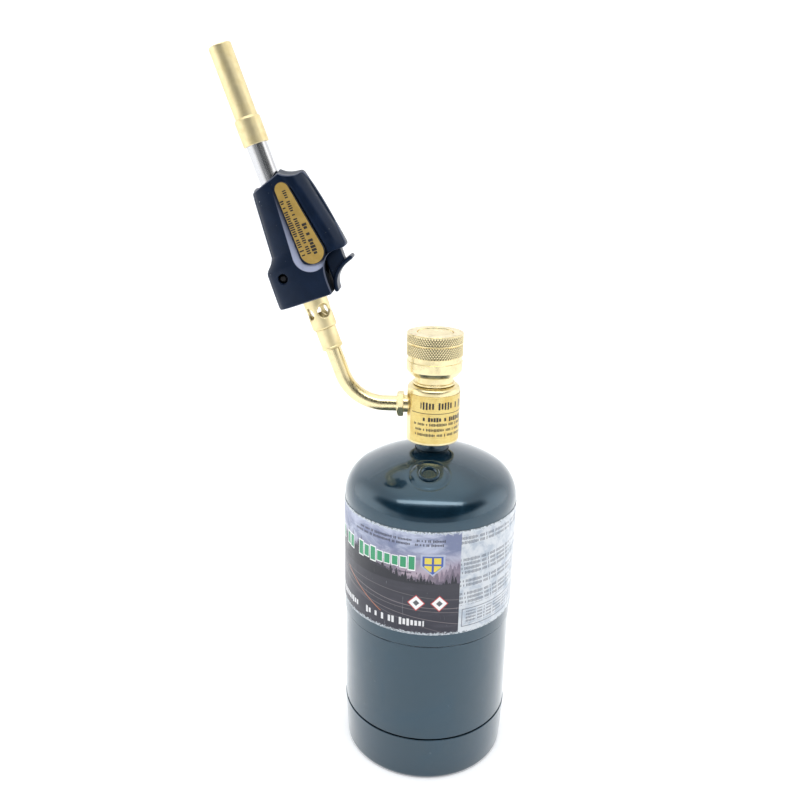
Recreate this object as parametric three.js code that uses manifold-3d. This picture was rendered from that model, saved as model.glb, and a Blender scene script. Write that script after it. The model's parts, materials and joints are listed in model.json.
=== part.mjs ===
// A hand torch on a one-pound propane cylinder, in millimetres, +Z up.
// The origin is the centre of the cylinder's base, on the surface it stands on.
// The burner leans towards -X; the tapped outlet, the gooseneck and the burner lie in the XZ plane.

import * as THREE from 'three';
import { mergeVertices } from 'three/addons/utils/BufferGeometryUtils.js';
import Module from 'manifold-3d';

const wasm = await Module();
wasm.setup();

// ---------------------------------------------------------------- driving dimensions

const GAP = 0.3;                    // clearance left between neighbouring solids

// Gas cylinder
const SHELL_RADIUS = 49.2;          // outside of the upper shell
const SHEET = 0.9;                  // drawn steel sheet
const FOOT_TOP = 28.1;
const FOOT_RADIUS = 47.9;           // foot cup near the floor; it widens by 1 mm to its top edge
const FOOT_FLARE = 1.0;
const FOOT_CORNER = 3.8;
const LAP_HEIGHT = 90.2;            // lower edge of the upper shell, which laps over the lower one
const LOWER_RADIUS = 48.6;
const LABEL_BOTTOM = 97.8;
const LABEL_TOP = 159.7;
const DOME_START = 161.7;
const KNUCKLE_RADIUS = 19.5;
const CROWN_RADIUS = 77.0;
const NECK_RADIUS = 9.3;
const THREAD_BOTTOM = 194.0;
const THREAD_TOP = 203.6;
const THREAD_RADIUS = 12.4;
const RELIEF_DISTANCE = 29.0;       // relief valve, from the cylinder's axis
const RELIEF_TURN = -92.0;          // and its direction about +Z, in degrees from +X

// Valve column
const BODY_BOTTOM = 194.2;
const BODY_TOP = 226.2;
const BODY_RADIUS = 14.6;
const SOCKET_TOP = 204.8;
const SOCKET_RADIUS = 12.9;
const SEAT_HEIGHT = 210.5;
const OUTLET_HEIGHT = 213.9;
const KNOB_BOTTOM = 232.0;
const KNOB_TOP = 255.4;
const KNOB_RADIUS = 15.5;
const CAP_RADIUS = 9.5;

// Gooseneck
const NUT_ACROSS_FLATS = 12.7;
const NUT_START = -16.5;
const NUT_LENGTH = 3.7;
const TUBE_RADIUS = 4.55;
const TUBE_BORE = 3.4;
const BEND_RADIUS = 25.0;

// Burner: its own frame has +Z along the flame and +X away from the flame's lean
const BURNER_TILT = 20.0;           // degrees from vertical
const BURNER_FOOT = new THREE.Vector3(-56.0, 0, 244.7);
const FERRULE_RADIUS = 5.65;
const MIXER_RADIUS = 6.7;
const MIXER_START = 12.0;
const MIXER_END = 40.0;
const AIR_HOLE_HEIGHT = 21.7;
const AIR_HOLE_RADIUS = 3.3;
const AIR_HOLE_FIRST = 35.0;        // degrees about the burner's axis
const FLAME_TUBE_RADIUS = 5.45;
const FLAME_TUBE_BORE = 4.85;
const FLAME_TUBE_START = 30.3;
const TIP_START = 112.8;
const TIP_STEP = 126.6;
const TIP_END = 162.5;
const TIP_BAND_RADIUS = 6.75;
const TIP_RADIUS = 5.85;
const ELECTRODE_OFFSET = 3.2;
const LEAD_HEIGHT = 63.0;           // where the electrode comes in through the flame tube

// Igniter housing, in the burner's frame
const HOUSING_HALF_WIDTH = 12.5;
const HOUSING_WALL = 2.0;
const PLATE_DEPTH = 1.4;
const SCREW_PLACES = [[-9.8, 45.0], [7.8, 88.0], [8.0, 55.5]];
const TRIGGER_TRAVEL = 4.5;
const PIEZO_OFFSET = 14.4;
const PIEZO_BOTTOM = 60.8;
const PIEZO_TOP = 79.0;

// ---------------------------------------------------------------- materials

const finish = (color, roughness, metalness) =>
  new THREE.MeshStandardMaterial({ color, roughness, metalness });

const tankPaint = () => finish(0x16323f, 0.18, 0.2);
const steel = () => finish(0xb8babd, 0.25, 1.0);
const brass = () => finish(0xd9c07a, 0.28, 1.0);
const navyPlastic = () => finish(0x1b2740, 0.45, 0.0);
const blackPlastic = () => finish(0x15171c, 0.5, 0.0);
const rubber = () => finish(0x202020, 0.8, 0.0);
const ceramic = () => finish(0xe8e4d8, 0.5, 0.0);
const goldFoil = () => finish(0xc8a24a, 0.35, 0.8);
const paper = () => finish(0xb9bccb, 0.55, 0.0);

// ---------------------------------------------------------------- solids

const radians = THREE.MathUtils.degToRad;

// Turns an outline of [radius, height] pairs about +Z. It ends on the axis or closes on itself.
function turned(outline, segments = 32) {
  const points = outline.map(([radius, height]) => new THREE.Vector2(radius, height));
  if (THREE.ShapeUtils.area(points) < 0) {
    points.reverse();
  }
  const solidCore = points[0].x === 0 && points[points.length - 1].x === 0;
  if (!solidCore) {
    points.push(points[0].clone());
  }
  return new THREE.LatheGeometry(points, segments).rotateX(Math.PI / 2);
}

function rod(radius, bottom, top, segments = 24) {
  return turned([[0, bottom], [radius, bottom], [radius, top], [0, top]], segments);
}

function ring(bore, radius, bottom, top, segments = 32) {
  return turned([[bore, bottom], [radius, bottom], [radius, top], [bore, top]], segments);
}

// Points on an arc, as [radius, height] pairs, from one angle to another in degrees.
function arc(centreRadius, centreHeight, radius, from, to, steps) {
  const points = [];
  for (let i = 0; i <= steps; i += 1) {
    const angle = radians(from + ((to - from) * i) / steps);
    points.push([centreRadius + radius * Math.cos(angle), centreHeight + radius * Math.sin(angle)]);
  }
  return points;
}

function block(low, high) {
  const size = high.map((value, i) => value - low[i]);
  const middle = high.map((value, i) => (value + low[i]) / 2);
  return new THREE.BoxGeometry(...size).translate(...middle);
}

// A flat outline in the XZ plane, given thickness along Y between two values.
function slab(shape, nearY, farY) {
  const options = { depth: farY - nearY, bevelEnabled: false, curveSegments: 3 };
  return new THREE.ExtrudeGeometry(shape, options).rotateX(Math.PI / 2).translate(0, farY, 0);
}

// Booleans work on manifold-3d solids, and place() turns the last one back into a geometry.
function toSolid(shape) {
  if (shape instanceof wasm.Manifold) {
    return shape;
  }
  const bare = shape.clone();
  bare.deleteAttribute('normal');
  bare.deleteAttribute('uv');
  const merged = mergeVertices(bare, 1e-4);
  const index = merged.index.array;
  const triangles = [];
  for (let i = 0; i < index.length; i += 3) {
    const [a, b, c] = index.slice(i, i + 3);
    if (a !== b && b !== c && c !== a) {
      triangles.push(a, b, c);
    }
  }
  const mesh = new wasm.Mesh({
    numProp: 3,
    vertProperties: Float32Array.from(merged.attributes.position.array),
    triVerts: Uint32Array.from(triangles),
  });
  return new wasm.Manifold(mesh);
}

function toGeometry(solid) {
  const mesh = solid.getMesh();
  const geometry = new THREE.BufferGeometry();
  geometry.setAttribute('position', new THREE.BufferAttribute(mesh.vertProperties, 3));
  geometry.setIndex(new THREE.BufferAttribute(mesh.triVerts, 1));
  return geometry;
}

const cut = (stock, ...tools) =>
  tools.reduce((left, tool) => left.subtract(toSolid(tool)), toSolid(stock));

const join = (first, second) => toSolid(first).add(toSolid(second));

const common = (first, second) => toSolid(first).intersect(toSolid(second));

function place(parent, name, shape, material) {
  const geometry = shape instanceof wasm.Manifold ? toGeometry(shape) : shape;
  const mesh = new THREE.Mesh(geometry, material);
  mesh.name = name;
  parent.add(mesh);
  return mesh;
}

// A round wire or tube along a curve; a bore above zero makes it hollow.
function along(curve, radius, steps, sides = 12, bore = 0) {
  const shape = new THREE.Shape().absarc(0, 0, radius, 0, 2 * Math.PI);
  if (bore > 0) {
    shape.holes.push(new THREE.Path().absarc(0, 0, bore, 0, 2 * Math.PI, true));
  }
  return new THREE.ExtrudeGeometry(shape, { steps, extrudePath: curve, curveSegments: sides });
}

class Coil extends THREE.Curve {
  constructor(radius, bottom, top, turns) {
    super();
    Object.assign(this, { radius, bottom, top, turns });
  }

  getPoint(t, target = new THREE.Vector3()) {
    const angle = 2 * Math.PI * this.turns * t;
    const height = THREE.MathUtils.lerp(this.bottom, this.top, t);
    return target.set(this.radius * Math.cos(angle), this.radius * Math.sin(angle), height);
  }
}

const spring = (radius, wire, bottom, top, turns) =>
  along(new Coil(radius, bottom + wire, top - wire, turns), wire, turns * 6, 2);

// ---------------------------------------------------------------- gas cylinder

// Height of the dome's outer surface above the crown sphere's centre.
const knuckleReach = SHELL_RADIUS - KNUCKLE_RADIUS;
const crownCentre = DOME_START - Math.sqrt((CROWN_RADIUS - KNUCKLE_RADIUS) ** 2 - knuckleReach ** 2);
const knuckleEnd = THREE.MathUtils.radToDeg(Math.atan2(DOME_START - crownCentre, knuckleReach));
const crownAngle = (radius, crown) => THREE.MathUtils.radToDeg(Math.acos(radius / crown));

// The dome from its straight side to a hole round the axis, set in by a distance.
function dome(inset, holeRadius) {
  const crown = CROWN_RADIUS - inset;
  return [
    ...arc(knuckleReach, DOME_START, KNUCKLE_RADIUS - inset, 0, knuckleEnd, 5),
    ...arc(0, crownCentre, crown, knuckleEnd, crownAngle(holeRadius, crown), 3).slice(1),
  ];
}

function gasCylinder() {
  const cylinder = new THREE.Group();
  const sides = 28;

  const footOutside = [
    [0, 0],
    ...arc(FOOT_RADIUS - FOOT_CORNER, FOOT_CORNER, FOOT_CORNER, -90, 0, 4),
    [FOOT_RADIUS + FOOT_FLARE, FOOT_TOP],
  ];
  const footInside = [
    [FOOT_RADIUS + FOOT_FLARE - SHEET, FOOT_TOP],
    ...arc(FOOT_RADIUS - FOOT_CORNER, FOOT_CORNER, FOOT_CORNER - SHEET, 0, -90, 2),
    [0, SHEET],
  ];
  place(cylinder, 'foot_cup', turned([...footOutside, ...footInside], sides), tankPaint());

  // Drawn lower shell: a domed floor inside the foot cup, and a neck that the upper shell laps over.
  const floorRadius = 46.8;
  const floorRise = 22.0;
  const floorBase = 26.0;
  const neckRadius = SHELL_RADIUS - SHEET - GAP;
  const bowl = (inset, steps) => arc(0, 0, 1, -90, 0, steps).map(([across, up]) => [
    Math.abs(across) < 1e-9 ? 0 : across * (floorRadius - inset),
    floorBase + up * (floorRise - inset),
  ]);
  const lowerOutside = [
    ...bowl(0, 5),
    [floorRadius, FOOT_TOP + 0.2],
    [LOWER_RADIUS, FOOT_TOP + 1.3],
    [LOWER_RADIUS, LAP_HEIGHT - 0.9],
    [neckRadius, LAP_HEIGHT - GAP],
    [neckRadius, LAP_HEIGHT + 9],
  ];
  const lowerInside = [
    [neckRadius - SHEET, LAP_HEIGHT + 9],
    [neckRadius - SHEET, LAP_HEIGHT - GAP],
    [LOWER_RADIUS - SHEET, LAP_HEIGHT - 1.5],
    [LOWER_RADIUS - SHEET, FOOT_TOP + 1.6],
    [floorRadius - SHEET, FOOT_TOP + 0.5],
    ...bowl(SHEET, 5).reverse(),
  ];
  place(cylinder, 'lower_shell', turned([...lowerOutside, ...lowerInside], sides), tankPaint());

  const neckHole = NECK_RADIUS + GAP;
  const upperStock = turned([
    [SHELL_RADIUS, LAP_HEIGHT],
    ...dome(0, neckHole),
    ...dome(SHEET, neckHole).reverse(),
    [SHELL_RADIUS - SHEET, LAP_HEIGHT],
  ], sides);
  const reliefHole = rod(5.0, -12, 6, 20).applyMatrix4(reliefFrame().matrix);
  place(cylinder, 'upper_shell', cut(upperStock, reliefHole), tankPaint());

  const labelRadius = SHELL_RADIUS + 0.08;
  const wrap = ring(labelRadius, labelRadius + 0.2, LABEL_BOTTOM, LABEL_TOP, sides);
  place(cylinder, 'tank_label', wrap, paper());

  // Threaded boss brazed into the dome, with the spring-closed valve in its bore.
  const boss = [
    [2.0, 178.5], [8.0, 178.5], [8.0, 183.5], [12.0, 183.5], [12.0, 187.1], [NECK_RADIUS, 187.1],
    [NECK_RADIUS, THREAD_BOTTOM - 0.6], [THREAD_RADIUS - 0.7, THREAD_BOTTOM],
    [THREAD_RADIUS, THREAD_BOTTOM + 0.7], [THREAD_RADIUS, THREAD_TOP - 0.7],
    [THREAD_RADIUS - 0.7, THREAD_TOP], [4.2, THREAD_TOP], [4.2, 180.0], [2.0, 180.0],
  ];
  place(cylinder, 'threaded_boss', turned(boss, 18), tankPaint());
  place(cylinder, 'cylinder_valve_core', ring(1.2, 3.9, 190.0, 199.5, 14), brass());
  const pin = [[0, 186.4], [1.5, 186.4], [1.5, 187.4], [2.8, 187.4], [2.8, 188.8], [0.9, 189.2],
    [0.9, 201.5], [0, 201.5]];
  place(cylinder, 'cylinder_valve_pin', turned(pin, 14), steel());
  place(cylinder, 'cylinder_valve_spring', spring(2.2, 0.35, 180.3, 187.1, 4), steel());
  return cylinder;
}

// The relief valve stands square to the dome, RELIEF_DISTANCE from the axis.
function reliefFrame() {
  const frame = new THREE.Group();
  const turn = radians(RELIEF_TURN);
  const height = crownCentre + Math.sqrt(CROWN_RADIUS ** 2 - RELIEF_DISTANCE ** 2);
  frame.position.set(RELIEF_DISTANCE * Math.cos(turn), RELIEF_DISTANCE * Math.sin(turn), height);
  frame.rotation.set(0, Math.asin(RELIEF_DISTANCE / CROWN_RADIUS), turn, 'ZYX');
  frame.updateMatrix();
  return frame;
}

function reliefValve() {
  const valve = reliefFrame();
  const body = [
    [1.4, -9.0], [4.6, -9.0], [4.6, GAP], [5.7, GAP + 0.1], [5.7, 0.9], [5.1, 1.4], [4.2, 1.4],
    [3.6, 0.8], [3.6, -7.5], [1.4, -7.5],
  ];
  place(valve, 'relief_valve_body', turned(body, 18), tankPaint());
  const poppet = [[0, -7.2], [3.2, -7.2], [3.2, -5.9], [1.0, -5.7], [1.0, -0.5], [0, -0.5]];
  place(valve, 'relief_poppet', turned(poppet, 14), brass());
  place(valve, 'relief_spring', spring(2.0, 0.3, -5.5, -1.8, 3), steel());
  place(valve, 'relief_retainer', ring(1.3, 3.3, -1.6, -0.8, 14), blackPlastic());
  return valve;
}

// ---------------------------------------------------------------- valve column

function valveColumn() {
  const column = new THREE.Group();
  const sides = 24;

  const shoulder = 2.4;
  const body = [
    [SOCKET_RADIUS, BODY_BOTTOM], [BODY_RADIUS - 0.4, BODY_BOTTOM], [BODY_RADIUS, BODY_BOTTOM + 0.4],
    ...arc(BODY_RADIUS - shoulder, BODY_TOP - shoulder, shoulder, 0, 90, 3),
    [8.5, BODY_TOP], [8.5, 217.0], [4.5, 217.0], [4.5, SEAT_HEIGHT], [1.2, SEAT_HEIGHT],
    [1.2, 209.0], [3.2, 209.0], [3.2, SOCKET_TOP], [SOCKET_RADIUS, SOCKET_TOP],
  ];
  const towardsOutlet = (geometry) =>
    geometry.rotateY(-Math.PI / 2).translate(0, 0, OUTLET_HEIGHT);
  const port = towardsOutlet(rod(1.8, 2.0, 10.0, 16));
  const tapping = towardsOutlet(rod(5.3, 8.0, 18.0, 24));
  place(column, 'valve_body', cut(turned(body, sides), port, tapping), brass());

  place(column, 'body_label', foilBand(-146, 60, BODY_RADIUS + 0.15, 0.15, 195.6, 222.4), goldFoil());
  place(column, 'inlet_gasket', ring(4.6, 11.5, 203.9, 204.5, 20), rubber());
  const depressor = [[0.6, 201.9], [1.3, 201.9], [1.3, 205.2], [2.9, 205.2], [2.9, 206.9], [0.6, 206.9]];
  place(column, 'depressor_pin', turned(depressor, 14), brass());
  place(column, 'inlet_filter', rod(2.9, 207.2, 208.7, 20), finish(0xa8854f, 0.9, 0.5));

  const bonnet = [
    [3.9, 217.3], [8.2, 217.3], [8.2, BODY_TOP + GAP], [11.3, BODY_TOP + GAP], [11.7, BODY_TOP + 0.7],
    [11.7, 227.4], [11.3, 227.8], [10.7, 227.8], [10.7, 238.0], [2.7, 238.0], [2.7, 230.6],
    [4.45, 230.6], [4.45, 228.4], [2.7, 228.4], [2.7, 226.0], [3.9, 226.0],
  ];
  place(column, 'bonnet', turned(bonnet, sides), brass());
  const sealSection = arc(3.4, 229.5, 0.8, 0, 300, 5);
  place(column, 'stem_seal', turned(sealSection, 16), rubber());

  const spindle = [
    [0, SEAT_HEIGHT + GAP], [0.6, SEAT_HEIGHT + GAP], [2.3, 213.2], [2.3, 219.0], [3.6, 219.4],
    [3.6, 223.9], [2.4, 224.3], [2.4, 239.4], [2.0, 239.8], [2.0, 250.6], [1.5, 250.6], [1.5, 244.0],
    [0, 244.0],
  ];
  place(column, 'needle_spindle', turned(spindle, 16), steel());

  const knob = [
    [11.2, KNOB_BOTTOM], [13.6, KNOB_BOTTOM], [KNOB_RADIUS, KNOB_BOTTOM + 2.8],
    [KNOB_RADIUS, 239.6], [15.0, 239.9], [15.0, 242.6], [KNOB_RADIUS, 242.9], [KNOB_RADIUS, 249.3],
    [15.0, 249.5], [15.0, 249.9], [KNOB_RADIUS, 250.1], [KNOB_RADIUS, KNOB_TOP - 0.7],
    [KNOB_RADIUS - 0.7, KNOB_TOP], [CAP_RADIUS + GAP + 0.3, KNOB_TOP], [CAP_RADIUS + GAP, 254.3],
    [4.4, 254.3], [4.4, 251.2], [2.3, 251.2], [2.3, 240.2], [11.2, 240.2],
  ];
  place(column, 'knob', turned(knob, 24), brass());
  place(column, 'knob_cap', rod(CAP_RADIUS, 254.6, 255.1, 24), brass());
  const knobScrew = [[0, 245.0], [1.2, 245.0], [1.2, 251.5], [3.6, 251.5], [3.6, 253.2], [0, 253.6]];
  place(column, 'knob_screw', turned(knobScrew, 14), steel());
  return column;
}

// A thin band of foil round part of a cylinder, between two directions in degrees from +X.
function foilBand(from, to, radius, thickness, bottom, top) {
  const shape = new THREE.Shape();
  shape.absarc(0, 0, radius, radians(from), radians(to), false);
  shape.absarc(0, 0, radius + thickness, radians(to), radians(from), true);
  const options = { depth: top - bottom, bevelEnabled: false, curveSegments: 16 };
  return new THREE.ExtrudeGeometry(shape, options).translate(0, 0, bottom);
}

// ---------------------------------------------------------------- gooseneck

// A straight run, a bend and a second straight run, in the XZ plane.
class Gooseneck extends THREE.Curve {
  constructor(start, corner, end, radius) {
    super();
    const inward = start.clone().sub(corner).normalize();
    const outward = end.clone().sub(corner).normalize();
    const turn = Math.PI - inward.angleTo(outward);
    const tangent = radius * Math.tan(turn / 2);
    this.start = start;
    this.bendStart = corner.clone().addScaledVector(inward, tangent);
    this.bendEnd = corner.clone().addScaledVector(outward, tangent);
    this.end = end;
    const across = inward.clone().add(outward).normalize();
    this.centre = corner.clone().addScaledVector(across, radius / Math.cos(turn / 2));
    this.turn = turn;
    this.lengths = [start.distanceTo(this.bendStart), radius * turn, this.bendEnd.distanceTo(end)];
  }

  getPoint(t, target = new THREE.Vector3()) {
    const [first, bend, last] = this.lengths;
    const distance = t * (first + bend + last);
    if (distance < first) {
      return target.lerpVectors(this.start, this.bendStart, distance / first);
    }
    if (distance > first + bend) {
      return target.lerpVectors(this.bendEnd, this.end, (distance - first - bend) / last);
    }
    const axis = new THREE.Vector3(0, 1, 0);
    const angle = (this.turn * (distance - first)) / bend;
    return target.copy(this.bendStart).sub(this.centre).applyAxisAngle(axis, angle).add(this.centre);
  }
}

function burnerFrame() {
  const frame = new THREE.Group();
  frame.position.copy(BURNER_FOOT);
  frame.rotation.y = -radians(BURNER_TILT);
  frame.updateMatrix();
  return frame;
}

function gooseneck() {
  const run = new THREE.Group();
  const flame = new THREE.Vector3(-Math.sin(radians(BURNER_TILT)), 0, Math.cos(radians(BURNER_TILT)));
  const drop = (BURNER_FOOT.z - OUTLET_HEIGHT) / flame.z;
  const corner = BURNER_FOOT.clone().addScaledVector(flame, -drop);
  const path = new Gooseneck(
    new THREE.Vector3(-12.4, 0, OUTLET_HEIGHT),
    corner,
    BURNER_FOOT.clone().addScaledVector(flame, 9.0),
    BEND_RADIUS,
  );
  place(run, 'gooseneck_tube', along(path, TUBE_RADIUS, 16, 5, TUBE_BORE), brass());

  const fitting = new THREE.Group();
  fitting.position.z = OUTLET_HEIGHT;
  fitting.rotation.y = -Math.PI / 2;
  const nipple = [
    [1.8, 8.3], [4.6, 8.3], [5.0, 8.7], [5.0, 19.8], [TUBE_RADIUS + 0.2, 19.8],
    [TUBE_RADIUS + 0.2, 12.1], [1.8, 12.1],
  ];
  place(fitting, 'outlet_nipple', turned(nipple, 18), brass());
  place(fitting, 'lock_nut', hexNut(), brass());
  run.add(fitting);
  return run;
}

// A hexagonal nut with flats up and down, its outer corners chamfered on the gooseneck's side.
function hexNut() {
  const cornerRadius = NUT_ACROSS_FLATS / Math.sqrt(3);
  const near = -NUT_START;
  const far = near + NUT_LENGTH;
  const prism = new THREE.CylinderGeometry(cornerRadius, cornerRadius, NUT_LENGTH, 6)
    .rotateX(Math.PI / 2)
    .translate(0, 0, (near + far) / 2);
  const cone = turned([
    [0, near - 1], [cornerRadius + 1, near - 1], [cornerRadius + 1, far - 1.2],
    [cornerRadius - 1.3, far + 0.1], [0, far + 0.1],
  ], 24);
  return cut(common(prism, cone), rod(5.25, near - 2, far + 2, 18));
}

// ---------------------------------------------------------------- burner

function burner() {
  const head = burnerFrame();
  const sides = 18;

  const ferrule = [
    [TUBE_RADIUS + GAP, 0.3], [5.3, 0], [5.9, 0.6], [5.9, 1.3], [FERRULE_RADIUS, 1.8],
    [FERRULE_RADIUS, 16.5], [2.9, 16.5], [2.9, 9.4], [TUBE_RADIUS + GAP, 9.4],
  ];
  place(head, 'ferrule', turned(ferrule, sides), brass());

  const jet = [
    [0.4, 10.2], [2.6, 10.2], [2.6, 16.8], [3.3, 16.8], [3.3, 18.4], [1.1, 20.9], [0.4, 20.9],
  ];
  place(head, 'gas_jet', turned(jet, 14), brass());

  const sleeve = turned([
    [FERRULE_RADIUS + GAP, MIXER_START], [MIXER_RADIUS - 0.6, MIXER_START],
    [MIXER_RADIUS, MIXER_START + 0.6], [MIXER_RADIUS, MIXER_END],
    [FLAME_TUBE_RADIUS + GAP, MIXER_END], [FLAME_TUBE_RADIUS + GAP, 30.0], [5.1, 30.0],
    [5.1, 17.2], [FERRULE_RADIUS + GAP, 17.2],
  ], 20);
  const airHoles = [0, 1].map((i) => new THREE.CylinderGeometry(AIR_HOLE_RADIUS, AIR_HOLE_RADIUS, 20, 10)
    .rotateZ(Math.PI / 2)
    .rotateZ(radians(AIR_HOLE_FIRST + 90 * i))
    .translate(0, 0, AIR_HOLE_HEIGHT));
  place(head, 'mixer_sleeve', cut(sleeve, ...airHoles), brass());

  const flameTube = ring(FLAME_TUBE_BORE, FLAME_TUBE_RADIUS, FLAME_TUBE_START, 119.6, sides);
  const leadHole = rod(1.8, 3, 8, 16).rotateY(Math.PI / 2).translate(0, 0, LEAD_HEIGHT);
  place(head, 'flame_tube', cut(flameTube, leadHole), steel());

  const tip = [
    [FLAME_TUBE_RADIUS + 0.2, TIP_START], [TIP_BAND_RADIUS - 0.3, TIP_START],
    [TIP_BAND_RADIUS, TIP_START + 0.3], [TIP_BAND_RADIUS, TIP_STEP - 1.1], [TIP_RADIUS, TIP_STEP],
    ...arc(TIP_RADIUS - 0.8, TIP_END - 1.2, 0.8, 0, 90, 3).map(([r, z]) => [r, z + 0.4]),
    [4.9, TIP_END - 0.4], [4.9, 119.9], [FLAME_TUBE_RADIUS + 0.2, 119.9],
  ];
  place(head, 'burner_tip', turned(tip, sides), brass());

  // Spinner that swirls the gas: a disc with slanted slots, and a hole for the electrode.
  const disc = rod(4.6, 128.0, 131.0, sides);
  const slots = [60, 120, 180, 240, 300].map((turn) => new THREE.BoxGeometry(2.2, 1.1, 8)
    .rotateX(radians(35))
    .translate(3.3, 0, 129.5)
    .rotateZ(radians(turn)));
  const passage = rod(1.55, 120, 140, 16).translate(ELECTRODE_OFFSET, 0, 0);
  place(head, 'swirl_disc', cut(disc, ...slots, passage), brass());

  const insulator = ring(0.7, 1.3, LEAD_HEIGHT + 2.6, 140, 10).translate(ELECTRODE_OFFSET, 0, 0);
  place(head, 'electrode_insulator', insulator, ceramic());
  const wirePath = new THREE.CatmullRomCurve3([
    new THREE.Vector3(8.2, 0, LEAD_HEIGHT), new THREE.Vector3(4.6, 0, LEAD_HEIGHT),
    new THREE.Vector3(3.4, 0, LEAD_HEIGHT + 0.6),
    new THREE.Vector3(ELECTRODE_OFFSET, 0, LEAD_HEIGHT + 2.4), new THREE.Vector3(ELECTRODE_OFFSET, 0, 90),
    new THREE.Vector3(ELECTRODE_OFFSET, 0, 120), new THREE.Vector3(ELECTRODE_OFFSET, 0, 142),
    new THREE.Vector3(3.7, 0, 148),
  ], false, 'centripetal');
  place(head, 'electrode', along(wirePath, 0.4, 24, 3), steel());
  const bush = turned([[0.7, 5.9], [2.3, 5.9], [2.3, 6.6], [1.3, 6.8], [1.3, 7.6], [0.7, 7.6]], 12);
  place(head, 'electrode_bush', bush.rotateY(Math.PI / 2).translate(0, 0, LEAD_HEIGHT), ceramic());
  return head;
}

// ---------------------------------------------------------------- igniter housing

// Side outline of the housing. X is across the burner, and Y is along it.
function housingOutline() {
  const shape = new THREE.Shape();
  shape.moveTo(-17.2, 29.4);
  shape.lineTo(11.0, 29.4);
  shape.quadraticCurveTo(12.2, 29.4, 12.1, 30.8);
  shape.quadraticCurveTo(10.9, 50.0, 20.4, 50.2);
  shape.lineTo(25.6, 50.0);
  shape.quadraticCurveTo(27.3, 50.0, 27.1, 51.6);
  shape.quadraticCurveTo(23.6, 78.0, 18.6, 92.4);
  shape.quadraticCurveTo(18.2, 93.6, 16.8, 93.7);
  shape.quadraticCurveTo(10.5, 94.2, 7.2, 97.4);
  shape.lineTo(-8.6, 92.3);
  shape.quadraticCurveTo(-9.6, 91.9, -9.7, 90.9);
  shape.lineTo(-12.5, 57.4);
  shape.quadraticCurveTo(-12.8, 54.4, -15.6, 52.1);
  shape.quadraticCurveTo(-17.9, 50.2, -17.9, 47.6);
  shape.lineTo(-18.7, 31.2);
  shape.quadraticCurveTo(-18.8, 29.4, -17.2, 29.4);
  return shape;
}

// A teardrop round two circles: a small one above and a large one below, each [x, y, radius].
function teardrop(upper, lower) {
  const [x0, y0, r0] = upper;
  const [x1, y1, r1] = lower;
  const axis = Math.atan2(y1 - y0, x1 - x0);
  const spread = Math.acos((r0 - r1) / Math.hypot(x1 - x0, y1 - y0));
  const shape = new THREE.Shape();
  shape.absarc(x0, y0, r0, axis + spread, axis - spread, false);
  shape.absarc(x1, y1, r1, axis - spread, axis + spread, false);
  return shape;
}

const pocketOutline = () => teardrop([6.2, 87.5, 4.7], [8.2, 52.6, 9.1]);
const plateOutline = () => teardrop([6.4, 87.4, 3.9], [9.9, 53.5, 6.6]);

const pillar = ([x, z], radius, nearY, farY, segments = 12) =>
  rod(radius, nearY, farY, segments).rotateX(-Math.PI / 2).translate(x, 0, z);

// The same outline one wall thickness further in.
function cavityOutline() {
  const shape = new THREE.Shape();
  shape.moveTo(-16.4, 31.4);
  shape.lineTo(10.0, 31.4);
  shape.quadraticCurveTo(9.6, 51.0, 20.2, 52.2);
  shape.lineTo(24.8, 52.2);
  shape.quadraticCurveTo(21.6, 77.0, 16.4, 91.4);
  shape.lineTo(7.6, 94.6);
  shape.lineTo(-7.7, 90.0);
  shape.lineTo(-10.5, 56.8);
  shape.quadraticCurveTo(-11.0, 53.0, -14.2, 50.6);
  shape.lineTo(-15.9, 47.6);
  shape.closePath();
  return shape;
}

// How far the housing reaches to the front and to the spine at a height, for its rounded section.
function housingReach(height) {
  const front = height < 50
    ? -18.8
    : -12.9 + 0.085 * Math.max(height - 57, 0) - 0.84 * Math.max(57 - height, 0);
  const spine = 27.6 - 0.22 * (height - 50);
  return [front, spine];
}

// A superellipse section carried up the housing, set in by a distance, with its ends on the reach.
function roundedColumn(inset) {
  const sides = 20;
  const corners = Array.from({ length: sides }, (_, i) => {
    const angle = (2 * Math.PI * i) / sides;
    const soften = (value) => Math.sign(value) * Math.abs(value) ** 0.62;
    const width = (HOUSING_HALF_WIDTH - inset) * soften(Math.sin(angle));
    return new THREE.Vector2(soften(Math.cos(angle)), width);
  });
  const bottom = 26;
  const options = { depth: 74, steps: 4, bevelEnabled: false };
  const column = new THREE.ExtrudeGeometry(new THREE.Shape(corners), options).translate(0, 0, bottom);
  const position = column.attributes.position;
  for (let i = 0; i < position.count; i += 1) {
    const [front, spine] = housingReach(position.getZ(i));
    const middle = (front + spine) / 2;
    const reach = (spine - front) / 2 - inset;
    position.setX(i, middle + reach * position.getX(i));
  }
  return column;
}

// Both shells as one hollow body with its openings, before it is parted at Y = 0.
function housingBody() {
  const wide = 2 * HOUSING_HALF_WIDTH;
  const outer = common(roundedColumn(0), slab(housingOutline(), -wide, wide));
  const inner = common(roundedColumn(HOUSING_WALL), slab(cavityOutline(), -wide, wide));
  const bosses = SCREW_PLACES.map((at) => pillar(at, 3.3, -wide, wide));
  const tubeRoom = join(rod(7.1, 31.4, 42, 28), rod(6.0, 31.4, 89, 28));
  const cavity = join(cut(inner, ...bosses), tubeRoom);
  const mixerHole = rod(MIXER_RADIUS + GAP, 20, 42, 28);
  const mouth = rod(7.6, 84, 105, 28).translate(-0.4, 0, 0);
  const triggerSlot = block([8.4, -6.9, 28], [30, 6.9, 50.4]);
  const stemSlot = block([12.6, -4.9, 45], [24.0, 4.9, 60.5]);
  return cut(outer, cavity, mixerHole, mouth, triggerSlot, stemSlot);
}

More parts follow.
